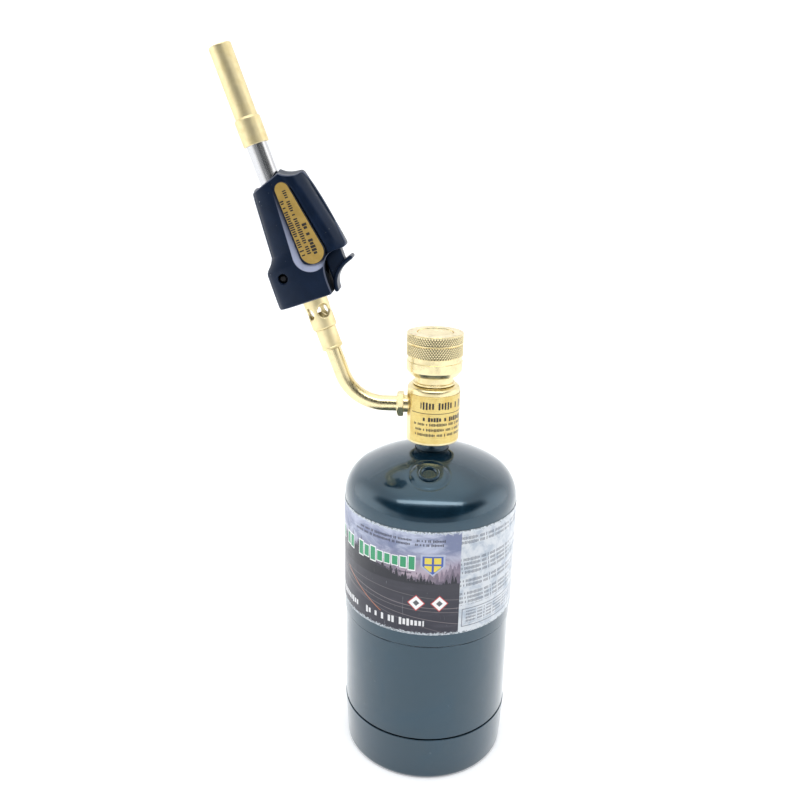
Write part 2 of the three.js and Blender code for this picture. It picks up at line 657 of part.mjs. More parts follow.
function housing() {
  const head = burnerFrame();
  const half = HOUSING_HALF_WIDTH;
  const whole = housingBody();
  const floorY = half - PLATE_DEPTH;
  const leftPocket = slab(pocketOutline(), -half - 2, -floorY);
  const rightPocket = slab(pocketOutline(), floorY, half + 2);

  const leftHalf = common(whole, block([-40, -40, 0], [60, -0.15, 120]));
  const shankHoles = SCREW_PLACES.map((at) => pillar(at, 1.45, -20, 1));
  const headHoles = SCREW_PLACES.map((at) => pillar(at, 2.5, -20, -8));
  place(head, 'housing_left', cut(leftHalf, leftPocket, ...shankHoles, ...headHoles), navyPlastic());

  const rightHalf = common(whole, block([-40, 0.15, 0], [60, 40, 120]));
  const pilotHoles = SCREW_PLACES.map((at) => pillar(at, 1.45, -1, 8));
  place(head, 'housing_right', cut(rightHalf, rightPocket, ...pilotHoles), navyPlastic());

  place(head, 'plate_left', slab(plateOutline(), -half + 0.2, -floorY - 0.2), goldFoil());
  place(head, 'plate_right', slab(plateOutline(), floorY + 0.2, half - 0.2), goldFoil());

  SCREW_PLACES.forEach(([x, z], i) => {
    const screw = turned([[0, 6.5], [1.1, 5.8], [1.1, -8.2], [2.2, -8.2], [2.2, -9.4], [1.5, -10.2],
      [0, -10.2]], 12);
    screw.rotateX(-Math.PI / 2).translate(x, 0, z);
    place(head, `housing_screw_${i + 1}`, screw, steel());
  });
  return head;
}

// Trigger: a guided stem with a curved blade for the finger at its lower end.
function igniter() {
  const head = burnerFrame();
  const blade = new THREE.Shape();
  blade.moveTo(27.4, 42.6);
  blade.quadraticCurveTo(15.4, 39.0, 15.2, 29.8);
  blade.lineTo(13.1, 29.7);
  blade.quadraticCurveTo(13.2, 40.6, 26.6, 44.8);
  blade.quadraticCurveTo(28.6, 44.6, 27.4, 42.6);
  const stem = new THREE.Shape();
  stem.moveTo(13.6, 32.0);
  stem.lineTo(16.2, 36.0);
  stem.lineTo(23.3, 42.6);
  stem.lineTo(23.3, 54.5);
  stem.lineTo(13.6, 54.5);
  stem.lineTo(13.6, 32.0);
  const trigger = join(slab(blade, -6.4, 6.4), slab(stem, -4.4, 4.4));
  place(head, 'trigger', trigger, navyPlastic());

  const piezoStock = block([PIEZO_OFFSET - 4, -4, PIEZO_BOTTOM], [PIEZO_OFFSET + 4, 4, PIEZO_TOP]);
  const chamber = rod(2.9, PIEZO_BOTTOM - 5, PIEZO_BOTTOM + 14, 16).translate(PIEZO_OFFSET, 0, 0);
  place(head, 'piezo_case', cut(piezoStock, chamber), blackPlastic());
  const plungerBottom = PIEZO_BOTTOM - TRIGGER_TRAVEL - 1.4;
  const plunger = turned([
    [0, plungerBottom], [2.6, plungerBottom], [2.6, plungerBottom + 9.0], [0, plungerBottom + 9.0],
  ], 20).translate(PIEZO_OFFSET, 0, 0);
  place(head, 'piezo_plunger', plunger, finish(0xf0f0ec, 0.5, 0.0));
  const springBottom = plungerBottom + 9.2;
  const returnSpring = spring(2.1, 0.35, springBottom, PIEZO_BOTTOM + 13.8, 6);
  place(head, 'piezo_spring', returnSpring.translate(PIEZO_OFFSET, 0, 0), steel());

  const leadPath = new THREE.CatmullRomCurve3([
    new THREE.Vector3(PIEZO_OFFSET, 0, PIEZO_TOP + GAP), new THREE.Vector3(14.2, 0, 81.6),
    new THREE.Vector3(11.8, 0, 82.6), new THREE.Vector3(9.4, 0, 81.4), new THREE.Vector3(8.3, 0, 78),
    new THREE.Vector3(8.2, 0, 71), new THREE.Vector3(8.6, 0, LEAD_HEIGHT + 3.2),
    new THREE.Vector3(9.3, 0, LEAD_HEIGHT),
  ], false, 'centripetal');
  place(head, 'ignition_lead', along(leadPath, 0.8, 16, 4), finish(0xb03030, 0.5, 0.0));
  return head;
}

// ---------------------------------------------------------------- assembly

const torch = new THREE.Group();
torch.add(gasCylinder());
torch.add(reliefValve());
torch.add(valveColumn());
torch.add(gooseneck());
torch.add(burner());
torch.add(housing());
torch.add(igniter());

export default torch;
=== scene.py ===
"""Fine surfaces and finishes of a hand torch on a one-pound gas cylinder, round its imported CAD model."""

import json
import math

import bmesh
import bpy
import numpy as np
from bpy.props import FloatProperty, FloatVectorProperty, IntProperty, PointerProperty
from mathutils import Matrix


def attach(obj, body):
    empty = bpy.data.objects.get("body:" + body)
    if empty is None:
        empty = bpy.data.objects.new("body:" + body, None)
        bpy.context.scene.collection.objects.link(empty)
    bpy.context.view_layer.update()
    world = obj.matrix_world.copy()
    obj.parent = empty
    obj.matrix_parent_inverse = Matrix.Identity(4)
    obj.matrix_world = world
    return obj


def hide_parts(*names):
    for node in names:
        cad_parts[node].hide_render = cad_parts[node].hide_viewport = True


bl_info = {
    "name": "Hand Torch",
    "version": (1, 0, 0),
    "blender": (4, 5, 0),
    "location": "View3D > Sidebar > Torch",
    "description": "Builds the visible surfaces and finishes of a gas hand torch",
    "category": "Object",
}

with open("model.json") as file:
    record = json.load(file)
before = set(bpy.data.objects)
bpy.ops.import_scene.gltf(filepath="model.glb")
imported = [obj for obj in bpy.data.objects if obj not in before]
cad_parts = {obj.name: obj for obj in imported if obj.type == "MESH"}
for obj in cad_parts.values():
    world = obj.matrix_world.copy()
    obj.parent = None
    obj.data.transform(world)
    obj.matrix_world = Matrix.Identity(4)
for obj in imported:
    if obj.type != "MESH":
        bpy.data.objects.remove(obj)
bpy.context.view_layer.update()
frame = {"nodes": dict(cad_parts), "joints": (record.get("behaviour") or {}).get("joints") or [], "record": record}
RECORD = frame["record"]
MM = 0.001
FULL_TURN = 2 * math.pi
BODY_OF = {node: body for body, nodes in RECORD["behaviour"]["bodies"].items() for node in nodes}


# ---------------------------------------------------------------- places, read from the frame

def placement(origin, x_axis, z_axis):
    """A local frame as a 4 x 4 matrix in millimetres, from its origin and two of its axes."""
    place = np.eye(4)
    place[:3, 0] = x_axis
    place[:3, 1] = np.cross(z_axis, x_axis)
    place[:3, 2] = z_axis
    place[:3, 3] = origin
    return place


def extent(node, place=np.eye(4)):
    """Lowest and highest corner of a CAD node along the axes of a local frame, in millimetres."""
    mesh = frame["nodes"][node].data
    points = np.empty(len(mesh.vertices) * 3, dtype=np.float32)
    mesh.vertices.foreach_get("co", points)
    local = (points.reshape(-1, 3) / MM - place[:3, 3]) @ place[:3, :3]
    return local.min(axis=0), local.max(axis=0)


def joint_axis(name):
    """A joint's unit axis."""
    axis = np.array(next(j["axis"] for j in frame["joints"] if j["name"] == name), dtype=float)
    return axis / np.linalg.norm(axis)


def centred(node, z_axis, x_axis, end):
    """The local frame of a turned node: on its own axis, starting at its low (0) or high (1) end."""
    loose = placement((0, 0, 0), x_axis, z_axis)
    low, high = extent(node, loose)
    middle = (low + high) / 2
    middle[2] = (low, high)[end][2]
    return placement(loose[:3, :3] @ middle, x_axis, z_axis)


UPRIGHT = np.eye(4)
FLAME = joint_axis("trigger_pull")
ACROSS = np.cross((0, 1, 0), FLAME)
BURNER = centred("ferrule", FLAME, ACROSS, 0)
OUTLET = centred("lock_nut", np.array((-1.0, 0, 0)), np.array((0, 0, 1.0)), 0)
OUTLET[0, 3] = 0
VENT_AXIS = joint_axis("relief_lift")
VENT_ACROSS = np.cross((0, 1, 0), VENT_AXIS)
VENT = centred("relief_valve_body", VENT_AXIS, VENT_ACROSS / np.linalg.norm(VENT_ACROSS), 1)
SIDEWAYS = np.array((0, 1.0, 0))


# ---------------------------------------------------------------- settings

class TankSettings(bpy.types.PropertyGroup):
    """Finish of the gas cylinder."""

    enamel: FloatVectorProperty(
        name="Enamel", description="Colour of the cylinder's enamel", subtype="COLOR",
        size=3, min=0, max=1, default=(0.002, 0.011, 0.021),
    )
    gloss: FloatProperty(
        name="Enamel roughness", description="Roughness of the enamel's clear top",
        default=0.07, min=0, max=1, subtype="FACTOR",
    )
    sides: IntProperty(
        name="Sides", description="Divisions round the cylinder", default=288, min=32, max=512,
    )


class BrassSettings(bpy.types.PropertyGroup):
    """Finish of the turned brass."""

    brass: FloatVectorProperty(
        name="Brass", description="Colour of the turned brass", subtype="COLOR",
        size=3, min=0, max=1, default=(0.86, 0.74, 0.44),
    )
    foil: FloatVectorProperty(
        name="Foil", description="Colour of the gold foil label", subtype="COLOR",
        size=3, min=0, max=1, default=(0.67, 0.53, 0.205),
    )
    knurls: IntProperty(
        name="Knurls", description="Knurl lines each way round the knob", default=64, min=20, max=120,
    )
    knurl_depth: FloatProperty(
        name="Knurl depth", description="Depth of the knurling", default=0.00036, min=0, unit="LENGTH",
    )


class PlasticSettings(bpy.types.PropertyGroup):
    """Finish of the igniter's housing."""

    navy: FloatVectorProperty(
        name="Plastic", description="Colour of the moulded housing", subtype="COLOR",
        size=3, min=0, max=1, default=(0.0028, 0.0075, 0.021),
    )
    roughness: FloatProperty(
        name="Plastic roughness", description="Roughness of the moulded housing",
        default=0.36, min=0, max=1, subtype="FACTOR",
    )


class StudioSettings(bpy.types.PropertyGroup):
    """The floor and the light."""

    floor: FloatVectorProperty(
        name="Floor", description="Colour of the floor and backdrop", subtype="COLOR",
        size=3, min=0, max=1, default=(0.93, 0.93, 0.94),
    )
    daylight: FloatProperty(
        name="Surround", description="Strength of the light from all round", default=1.0, min=0,
    )


# ---------------------------------------------------------------- materials

class Value:
    """A socket in a material. Arithmetic on values adds Math nodes."""

    def __init__(self, paint, socket):
        self.paint = paint
        self.socket = socket

    def __add__(self, other):
        return self.paint.math("ADD", self, other)

    __radd__ = __add__

    def __sub__(self, other):
        return self.paint.math("SUBTRACT", self, other)

    def __rsub__(self, other):
        return self.paint.math("SUBTRACT", other, self)

    def __mul__(self, other):
        return self.paint.math("MULTIPLY", self, other)

    __rmul__ = __mul__

    def __truediv__(self, other):
        return self.paint.math("DIVIDE", self, other)

    def __lt__(self, other):
        return self.paint.math("LESS_THAN", self, other)

    def __gt__(self, other):
        return self.paint.math("GREATER_THAN", self, other)

    def __abs__(self):
        return self.paint.math("ABSOLUTE", self)

    def __mod__(self, other):
        return self.paint.math("FLOORED_MODULO", self, other)


class Paint:
    """Builds one material: its nodes, and the shader that they feed."""

    def __init__(self, name, **constants):
        self.material = bpy.data.materials.new(name)
        self.material.use_nodes = True
        self.tree = self.material.node_tree
        self.shader = self.tree.nodes["Principled BSDF"]
        self.shade(**constants)

    def wire(self, socket, value):
        """Gives a socket a link or a plain value."""
        if isinstance(value, Value):
            self.tree.links.new(value.socket, socket)
        elif socket.type == "RGBA" and len(value) == 3:
            socket.default_value = (*value, 1)
        else:
            socket.default_value = value

    def node(self, kind, settings=(), sockets=(), output=0):
        """Adds a node: its settings first, then its sockets by identifier, and returns one output."""
        node = self.tree.nodes.new(kind)
        for key, value in dict(settings).items():
            setattr(node, key, value)
        for key, value in dict(sockets).items():
            self.wire(next(s for s in node.inputs if s.identifier == key), value)
        return Value(self, node.outputs[output])

    def shade(self, **sockets):
        """Sets the shader's own sockets; an underscore in a name stands for a space."""
        for key, value in sockets.items():
            self.wire(self.shader.inputs[key.replace("_", " ")], value)

    def math(self, operation, *values):
        """Adds a Math node."""
        names = ("Value", "Value_001", "Value_002")
        return self.node("ShaderNodeMath", {"operation": operation}, zip(names, values))

    def either(self, first, *others):
        """The largest of several masks."""
        for other in others:
            first = self.math("MAXIMUM", first, other)
        return first

    def step(self, value, start, end):
        """Rises smoothly from 0 to 1 as the value goes from start to end."""
        sockets = {"Value": value, "From Min": start, "From Max": end}
        return self.node("ShaderNodeMapRange", {"interpolation_type": "SMOOTHSTEP"}, sockets)

    def fit(self, value, low, high, start=0.0, end=1.0):
        """Carries the value from the range start to end into the range low to high."""
        sockets = {"Value": value, "From Min": start, "From Max": end, "To Min": low, "To Max": high}
        return self.node("ShaderNodeMapRange", {"clamp": True}, sockets)

    def mix(self, factor, first, second):
        """Blends two colours."""
        sockets = {"Factor_Float": factor, "A_Color": first, "B_Color": second}
        return self.node("ShaderNodeMix", {"data_type": "RGBA"}, sockets, 2)

    def combine(self, x, y, z):
        """A vector of three values."""
        return self.node("ShaderNodeCombineXYZ", (), {"X": x, "Y": y, "Z": z})

    def attribute(self, name):
        """A number that the mesh holds for each of its points."""
        return self.node("ShaderNodeAttribute", {"attribute_name": name}, (), 2)

    def noise(self, vector, scale, detail=3.0, roughness=0.5, distortion=0.0):
        """Cloudy noise about 0.5."""
        sockets = {"Vector": vector, "Scale": scale, "Detail": detail, "Roughness": roughness}
        return self.node("ShaderNodeTexNoise", (), {**sockets, "Distortion": distortion})

    def scatter(self, value, seed=0.0):
        """A random number for each whole value."""
        return self.node("ShaderNodeTexWhiteNoise", {"noise_dimensions": "1D"}, {"W": value + seed})

    def coordinates(self, place=UPRIGHT):
        """The Object coordinates in a local frame, in millimetres, as a vector and as x, y and z."""
        spot = self.tree.nodes.new("ShaderNodeTexCoord")
        sockets = {
            "Vector": Value(self, spot.outputs["Object"]),
            "Location": tuple(place[:3, 3] * MM),
            "Rotation": tuple(Matrix(place[:3, :3].tolist()).to_euler()),
            "Scale": (MM, MM, MM),
        }
        local = self.node("ShaderNodeMapping", {"vector_type": "TEXTURE"}, sockets)
        axes = [self.node("ShaderNodeSeparateXYZ", (), {"Vector": local}, i) for i in range(3)]
        return (local, *axes)

    def bump(self, height, distance, strength=1.0):
        """Feeds a height in millimetres to the shader's Normal."""
        sockets = {"Height": height, "Distance": distance * MM, "Strength": strength}
        self.shade(Normal=self.node("ShaderNodeBump", (), sockets))


class Sky(Paint):
    """Builds the light from all round."""

    def __init__(self, name):
        self.world = bpy.data.worlds.new(name)
        self.world.use_nodes = True
        self.tree = self.world.node_tree
        self.shader = self.tree.nodes["Background"]


# What tarnish leaves of each channel of a metal's colour.
TARNISH = (0.90, 0.88, 0.80)


def grain(paint, x, y, z, along, around):
    """Fine lines round the z axis: noise drawn out round the axis and packed tightly along it."""
    return paint.noise(paint.combine(x * around, y * around, z * along), 1.0, 4.0, 0.6)


def turned_metal(name, colour, roughness, place=UPRIGHT):
    """Metal turned on a lathe: fine rings round the axis, with a faint uneven tarnish."""
    paint = Paint(name, Metallic=1.0)
    spot, x, y, z = paint.coordinates(place)
    rings = grain(paint, x, y, z, 5.0, 0.10)
    cloud = paint.noise(spot, 0.16, 4.0, 0.6, 0.4)
    duller = tuple(channel * kept for channel, kept in zip(colour, TARNISH))
    paint.shade(
        Base_Color=paint.mix(paint.step(cloud, 0.42, 0.70), colour, duller),
        Roughness=paint.fit(rings * 0.5 + cloud * 0.5, roughness * 0.85, roughness * 1.2, 0.35, 0.65),
    )
    paint.bump(rings, 0.008)
    return paint.material


def drawn_metal(name, colour, roughness, place=UPRIGHT):
    """Metal drawn lengthways: streaks along the z axis and a few small dings."""
    paint = Paint(name, Metallic=1.0)
    spot, x, y, z = paint.coordinates(place)
    streaks = paint.noise(paint.combine(x * 2.2, y * 2.2, z * 0.05), 1.0, 4.0, 0.6)
    cloud = paint.noise(spot, 0.12, 3.0, 0.55, 0.3)
    duller = tuple(channel * 0.84 for channel in colour)
    paint.shade(
        Base_Color=paint.mix(paint.step(cloud, 0.45, 0.72), colour, duller),
        Roughness=paint.fit(streaks, roughness * 0.7, roughness * 1.5, 0.35, 0.7),
    )
    paint.bump(streaks + paint.noise(spot, 0.5, 2.0) * 0.5, 0.006)
    return paint.material


def rough_solid(name, colour, shade, roughness, scale, depth, metallic=0.0):
    """A moulded, fired or cast stuff: a fine skin, with its colour uneven towards a second shade."""
    paint = Paint(name, Metallic=metallic)
    spot = paint.coordinates()[0]
    skin = paint.noise(spot, scale, 4.0, 0.6)
    cloud = paint.noise(spot, scale * 0.08, 3.0, 0.5)
    paint.shade(
        Base_Color=paint.mix(paint.step(cloud, 0.35, 0.7), colour, shade),
        Roughness=paint.fit(skin, roughness * 0.85, roughness * 1.15, 0.3, 0.7),
    )
    paint.bump(skin, depth)
    return paint.material


def enamel():
    """Glossy enamel with a soft orange-peel skin, faint smudges, dust and worn edges at the laps."""
    settings = bpy.context.scene.torch_tank
    paint = Paint(
        "tank_enamel", Coat_Roughness=settings.gloss, Coat_IOR=1.5, Specular_IOR_Level=0.8,
        Specular_Tint=(0.42, 0.76, 1.0, 1.0),
    )
    spot, x, y, z = paint.coordinates()
    peel = paint.noise(spot, 0.55, 2.0, 0.4)
    smudge = paint.noise(spot, 0.035, 4.0, 0.62, 0.8)
    speck = paint.node("ShaderNodeTexVoronoi", {"feature": "F1"}, {"Vector": spot, "Scale": 0.16})
    dust = paint.step(speck, 0.075, 0.045) * paint.step(paint.noise(spot, 0.05), 0.52, 0.62)
    deep = tuple(settings.enamel)
    lighter = tuple(channel * 1.7 + 0.001 for channel in deep)
    coloured = paint.mix(paint.step(smudge, 0.40, 0.72), deep, lighter)
    lap = extent("upper_shell")[0][2]
    foot = extent("foot_cup")[1][2]
    chips = paint.step(paint.noise(paint.combine(x * 0.5, y * 0.5, z * 1.2), 1.0, 5.0, 0.7), 0.60, 0.66)
    edges = paint.either(paint.step(abs(z - lap - 0.2), 0.45, 0.1), paint.step(abs(z - foot), 0.5, 0.1))
    coloured = paint.mix(edges * chips * 0.55, coloured, (0.16, 0.19, 0.21))
    paint.shade(
        Base_Color=paint.mix(dust * 0.5, coloured, (0.20, 0.24, 0.27)),
        Roughness=paint.fit(smudge, 0.13, 0.24, 0.3, 0.7),
        Coat_Weight=paint.fit(smudge, 0.75, 0.60, 0.45, 0.75),
    )
    paint.bump(peel, 0.010)
    return paint.material


def marks(paint, across, up, row, height, start, end, pitch, seed, gap=0.2):
    """A row of plain blocks in place of words: cells of one width, some left out, heights uneven."""
    cell = paint.math("FLOOR", across / pitch)
    shown = paint.scatter(cell, seed) > 0.17
    inside = ((across / pitch) % 1.0) < (1 - gap)
    tall = paint.scatter(cell, seed + 31.7) * 0.22 * height + height * 0.36
    in_row = abs(up - row) < tall
    return shown * inside * in_row * (across > start) * (across < end)


def rows_of_marks(paint, across, up, rows):
    """Several rows: each gives its level, height, start, end, pitch and seed, and may give its gap."""
    return paint.either(*(marks(paint, across, up, *row) for row in rows))


def frame_mask(paint, across, up, centre, half, line):
    """The line round a rectangle."""
    reach = paint.either(abs(across - centre[0]) - half[0], abs(up - centre[1]) - half[1])
    return paint.step(abs(reach), line, line * 0.5)


# Rows of marks on the wrap's landscape, the foil label and the plates.
WRAP_NOTES = (
    (56.6, 1.4, -60.0, -8.0, 0.86, 7.0),
    (54.2, 1.4, -64.0, -8.0, 0.86, 8.0),
    (37.4, 1.1, -52.0, -23.5, 0.8, 9.0),
)
FOIL_ROWS = (
    (21.6, 4.4, 7.4, 34.0, 1.75, 3.0, 0.38),
    (14.0, 2.6, 9.0, 34.0, 1.5, 5.0, 0.20),
    (11.0, 1.5, 3.4, 42.0, 0.85, 6.0, 0.30),
    (8.0, 1.5, 4.4, 41.0, 0.85, 8.0, 0.30),
    (5.0, 1.5, 3.6, 43.0, 0.85, 14.0, 0.30),
)
PLATE_ROWS = (
    (13.4, 2.5, 22.0, 38.6, 1.7, 3.0, 0.22),
    (10.2, 2.1, 3.6, 39.0, 1.15, 5.0, 0.36),
    (7.0, 2.1, 7.6, 37.6, 1.15, 9.0, 0.36),
)
# Trails of light on the wrap's dark ground: how fast each falls, its level and its strength.
TRAILS = (
    (0.10, 20.0, 0.8), (0.13, 17.5, 0.5), (0.20, 13.0, 0.6), (0.27, 9.5, 0.35), (0.05, 24.0, 0.4),
)
PANEL_START = -69.5
PANEL_WIDTH = 74.0
PANEL_ROW = 2.55
TITLE_LEVEL = 43.2
BADGE = -15.2
TILES = (-23.6, -11.0)
TILE_LEVEL = 19.6
FOIL_START = -146.0
FOIL_END = 60.0


def printed_wrap():
    """The printed wrap: a dusk landscape beside a pale panel, with blocks where words would be."""
    paint = Paint("printed_wrap", Specular_IOR_Level=0.35, Coat_Roughness=0.14)
    low, high = extent("tank_label")
    radius = high[0]
    spot, x, y, z = paint.coordinates()
    turn = (paint.math("ARCTAN2", y, x) - math.radians(PANEL_START) + 2 * FULL_TURN) % FULL_TURN
    across = turn * radius
    left = across - FULL_TURN * radius
    up = z - low[2]
    height = high[2] - low[2]
    on_panel = across < PANEL_WIDTH

    # Sky, with drifting cloud and a warm glow above the trees.
    drift = paint.noise(paint.combine(left * 0.045, up * 0.10, 0.0), 1.0, 6.0, 0.62, 0.6)
    sky = paint.mix(paint.step(drift, 0.38, 0.66), (0.17, 0.20, 0.33), (0.50, 0.54, 0.68))
    glow = paint.step(up, 52.0, 35.0)
    sky = paint.mix(glow * 0.8, sky, (0.42, 0.31, 0.36))

    # Conifers: a treeline with narrow spires, higher at the left, before a paler row at the right.
    def treeline(pitch, spike, seed):
        """Height of one row of spires: each has its own height and a point in its middle."""
        cell = paint.math("FLOOR", left / pitch)
        offset = abs((left / pitch) % 1.0 - 0.5) * 2
        ragged = (paint.noise(paint.combine(left * 1.6, up * 1.3, seed), 1.0, 3.0) - 0.5) * 4.0
        return paint.scatter(cell, seed) * spike * (1.0 - offset * 0.7) + ragged

    hill = paint.step(left, -14.0, -66.0) * 11.0 + 31.0
    grove = paint.step(left, -13.0, -5.0) * 8.0 + 30.0
    far_trees = up < (treeline(2.3, 9.0, 11.0) + grove)
    middle_trees = up < (treeline(2.9, 8.0, 8.0) + hill + 2.0)
    near_trees = up < (treeline(1.7, 6.0, 5.0) + hill)
    scene = paint.mix(far_trees * 0.55, sky, (0.085, 0.065, 0.12))
    scene = paint.mix(middle_trees * 0.6, scene, (0.06, 0.055, 0.09))
    scene = paint.mix(near_trees, scene, (0.012, 0.013, 0.022))

    # Dark ground with thin trails of light that sweep down to the right.
    ground = paint.mix(paint.step(up, 4.0, 31.0), (0.020, 0.020, 0.036), (0.030, 0.030, 0.044))
    haze = paint.noise(paint.combine(left * 0.05, up * 0.3, 1.0), 1.0, 4.0)
    ground = paint.mix(paint.step(haze, 0.5, 0.8) * 0.5, ground, (0.060, 0.056, 0.080))
    scene = paint.mix(paint.step(up, 31.6, 30.6), scene, ground)
    trails = []
    for index, (drop, level, strength) in enumerate(TRAILS):
        sway = paint.math("SINE", left * 0.05 + index) * 1.2
        curve = level - (left + 40) * drop + sway
        trails.append(paint.step(abs(up - curve), 0.32, 0.05) * strength * (up < 29.0))
    scene = paint.mix(paint.either(*trails) * 0.45, scene, (0.50, 0.42, 0.42))
    ember = paint.step(abs(up - (12.0 - (left + 48) * 0.55)), 0.5, 0.05) * (up < 26.0) * (up > 10.0)
    scene = paint.mix(ember * 0.6, scene, (0.75, 0.26, 0.10))

    # Blocks in place of the title, the notes and the caption.
    title = marks(paint, left, up, TITLE_LEVEL, 7.0, -150.0, -23.3, 4.7, 2.0, 0.30)
    rim = marks(paint, left + 0.45, up, TITLE_LEVEL, 8.4, -150.0, -22.8, 4.7, 2.0, 0.10)
    scene = paint.mix(rim * 0.9, scene, (0.86, 0.88, 0.88))
    scene = paint.mix(title, scene, (0.035, 0.30, 0.14))
    notes = rows_of_marks(paint, left, up, WRAP_NOTES)
    scene = paint.mix(notes * 0.8, scene, (0.03, 0.03, 0.05))
    caption = marks(paint, left, up, 7.2, 3.9, -104.0, -19.0, 2.2, 4.0, 0.34)
    scene = paint.mix(caption * 0.85, scene, (0.86, 0.86, 0.88))

    # A plain badge and two small tiles.
    aside = abs(left - BADGE)
    badge_edge = paint.either(aside - 6.2, up - 48.4, (41.8 - up) + aside * 0.9 - 5.4)
    scene = paint.mix(paint.step(badge_edge, 0.5, 0.2), scene, (0.42, 0.46, 0.58))
    scene = paint.mix(paint.step(badge_edge, -0.5, -0.8), scene, (0.05, 0.10, 0.38))
    squares = (abs(aside - 2.5) < 1.9) * (abs(abs(up - 42.8) - 2.3) < 1.8)
    scene = paint.mix(squares * (badge_edge < -1.0), scene, (0.74, 0.60, 0.08))
    for centre in TILES:
        tile = abs(left - centre) + abs(up - TILE_LEVEL)
        scene = paint.mix(paint.step(tile, 5.0, 4.8), scene, (0.50, 0.05, 0.05))
        scene = paint.mix(paint.step(tile, 4.3, 4.1), scene, (0.86, 0.86, 0.86))
        scene = paint.mix(paint.step(tile, 1.9, 1.7), scene, (0.10, 0.10, 0.11))

    # The pale panel, with rows of small marks and a ruled box low down.
    scuff = paint.noise(paint.combine(across * 0.12, up * 0.12, 5.0), 1.0, 6.0, 0.7, 0.5)
    panel = paint.mix(paint.step(scuff, 0.42, 0.66), (0.62, 0.65, 0.69), (0.40, 0.46, 0.54))
    row = paint.math("FLOOR", up / PANEL_ROW)
    row_up = up - row * PANEL_ROW
    long_row = paint.scatter(row, 3.3) * 26 + 40
    kept_row = paint.scatter(row, 7.9) > 0.16
    text = marks(paint, across + row * 0.37, row_up, 1.2, 1.7, 2.4, PANEL_WIDTH, 0.86, 12.0, 0.28)
    text = text * (across < long_row) * kept_row * (up > 17.0) * (up < 59.0)
    small = marks(paint, across, up % 2.0, 1.0, 1.2, 4.2, 52.0, 0.9, 21.0) * (up > 5.4) * (up < 13.2)
    box = frame_mask(paint, across, up, (28.5, 9.3), (26.5, 5.3), 0.32)
    panel = paint.mix(paint.either(text * 0.75, small * 0.7, box * 0.8), panel, (0.09, 0.10, 0.13))
    picture = paint.mix(on_panel, scene, panel)

    # Scratches, creases and a worn, whitish edge above and below.
    scratch = paint.noise(paint.combine(across * 0.5, up * 0.06, 2.0), 1.0, 5.0, 0.75, 1.5)
    picture = paint.mix(paint.step(scratch, 0.62, 0.74) * 0.35, picture, (0.72, 0.74, 0.78))
    from_edge = paint.math("MINIMUM", up, height - up)
    tatter = (paint.noise(paint.combine(across * 0.8, up * 0.8, 9.0), 1.0, 5.0, 0.75) - 0.36) * 9.0
    worn = paint.step(from_edge - tatter, 0.2, -0.3)
    picture = paint.mix(worn, picture, (0.62, 0.67, 0.72))
    bare = paint.step(from_edge - (tatter - 0.9) * 1.1, 0.1, -0.2)
    picture = paint.mix(bare * 0.8, picture, (0.03, 0.06, 0.08))
    paint.shade(
        Base_Color=picture,
        Roughness=paint.fit(scuff, 0.30, 0.50, 0.3, 0.7),
        Coat_Weight=paint.fit(scratch, 0.40, 0.20, 0.4, 0.7),
    )
    paint.bump(scratch * 0.4 + paint.noise(spot, 0.12, 3.0), 0.05)
    return paint.material


def foil_print():
    """Gold foil with dark printing: a title row, a rule, a bold row and rows of small marks."""
    settings = bpy.context.scene.torch_brass
    paint = Paint("foil_print")
    low, high = extent("body_label")
    spot, x, y, z = paint.coordinates()
    radius = high[0]
    turn = (paint.math("ARCTAN2", y, x) - math.radians(FOIL_START) + 2 * FULL_TURN) % FULL_TURN
    across = turn * radius
    up = z - low[2]
    rule = paint.step(abs(up - 17.3), 0.22, 0.12) * (across > 1.4) * (across < 49.0)
    ink = paint.either(rule, rows_of_marks(paint, across, up, FOIL_ROWS))
    rings = grain(paint, x, y, z, 3.0, 0.1)
    cloud = paint.noise(spot, 0.2, 4.0, 0.6)
    foil = tuple(settings.foil)
    gold = paint.mix(paint.step(cloud, 0.4, 0.7), foil, (foil[0] * 0.9, foil[1] * 0.82, foil[2] * 0.7))
    paint.shade(
        Base_Color=paint.mix(ink, gold, (0.020, 0.012, 0.008)),
        Metallic=1.0 - ink,
        Roughness=paint.fit(rings, 0.16, 0.30, 0.35, 0.65),
    )
    paint.bump(rings, 0.006)
    return paint.material


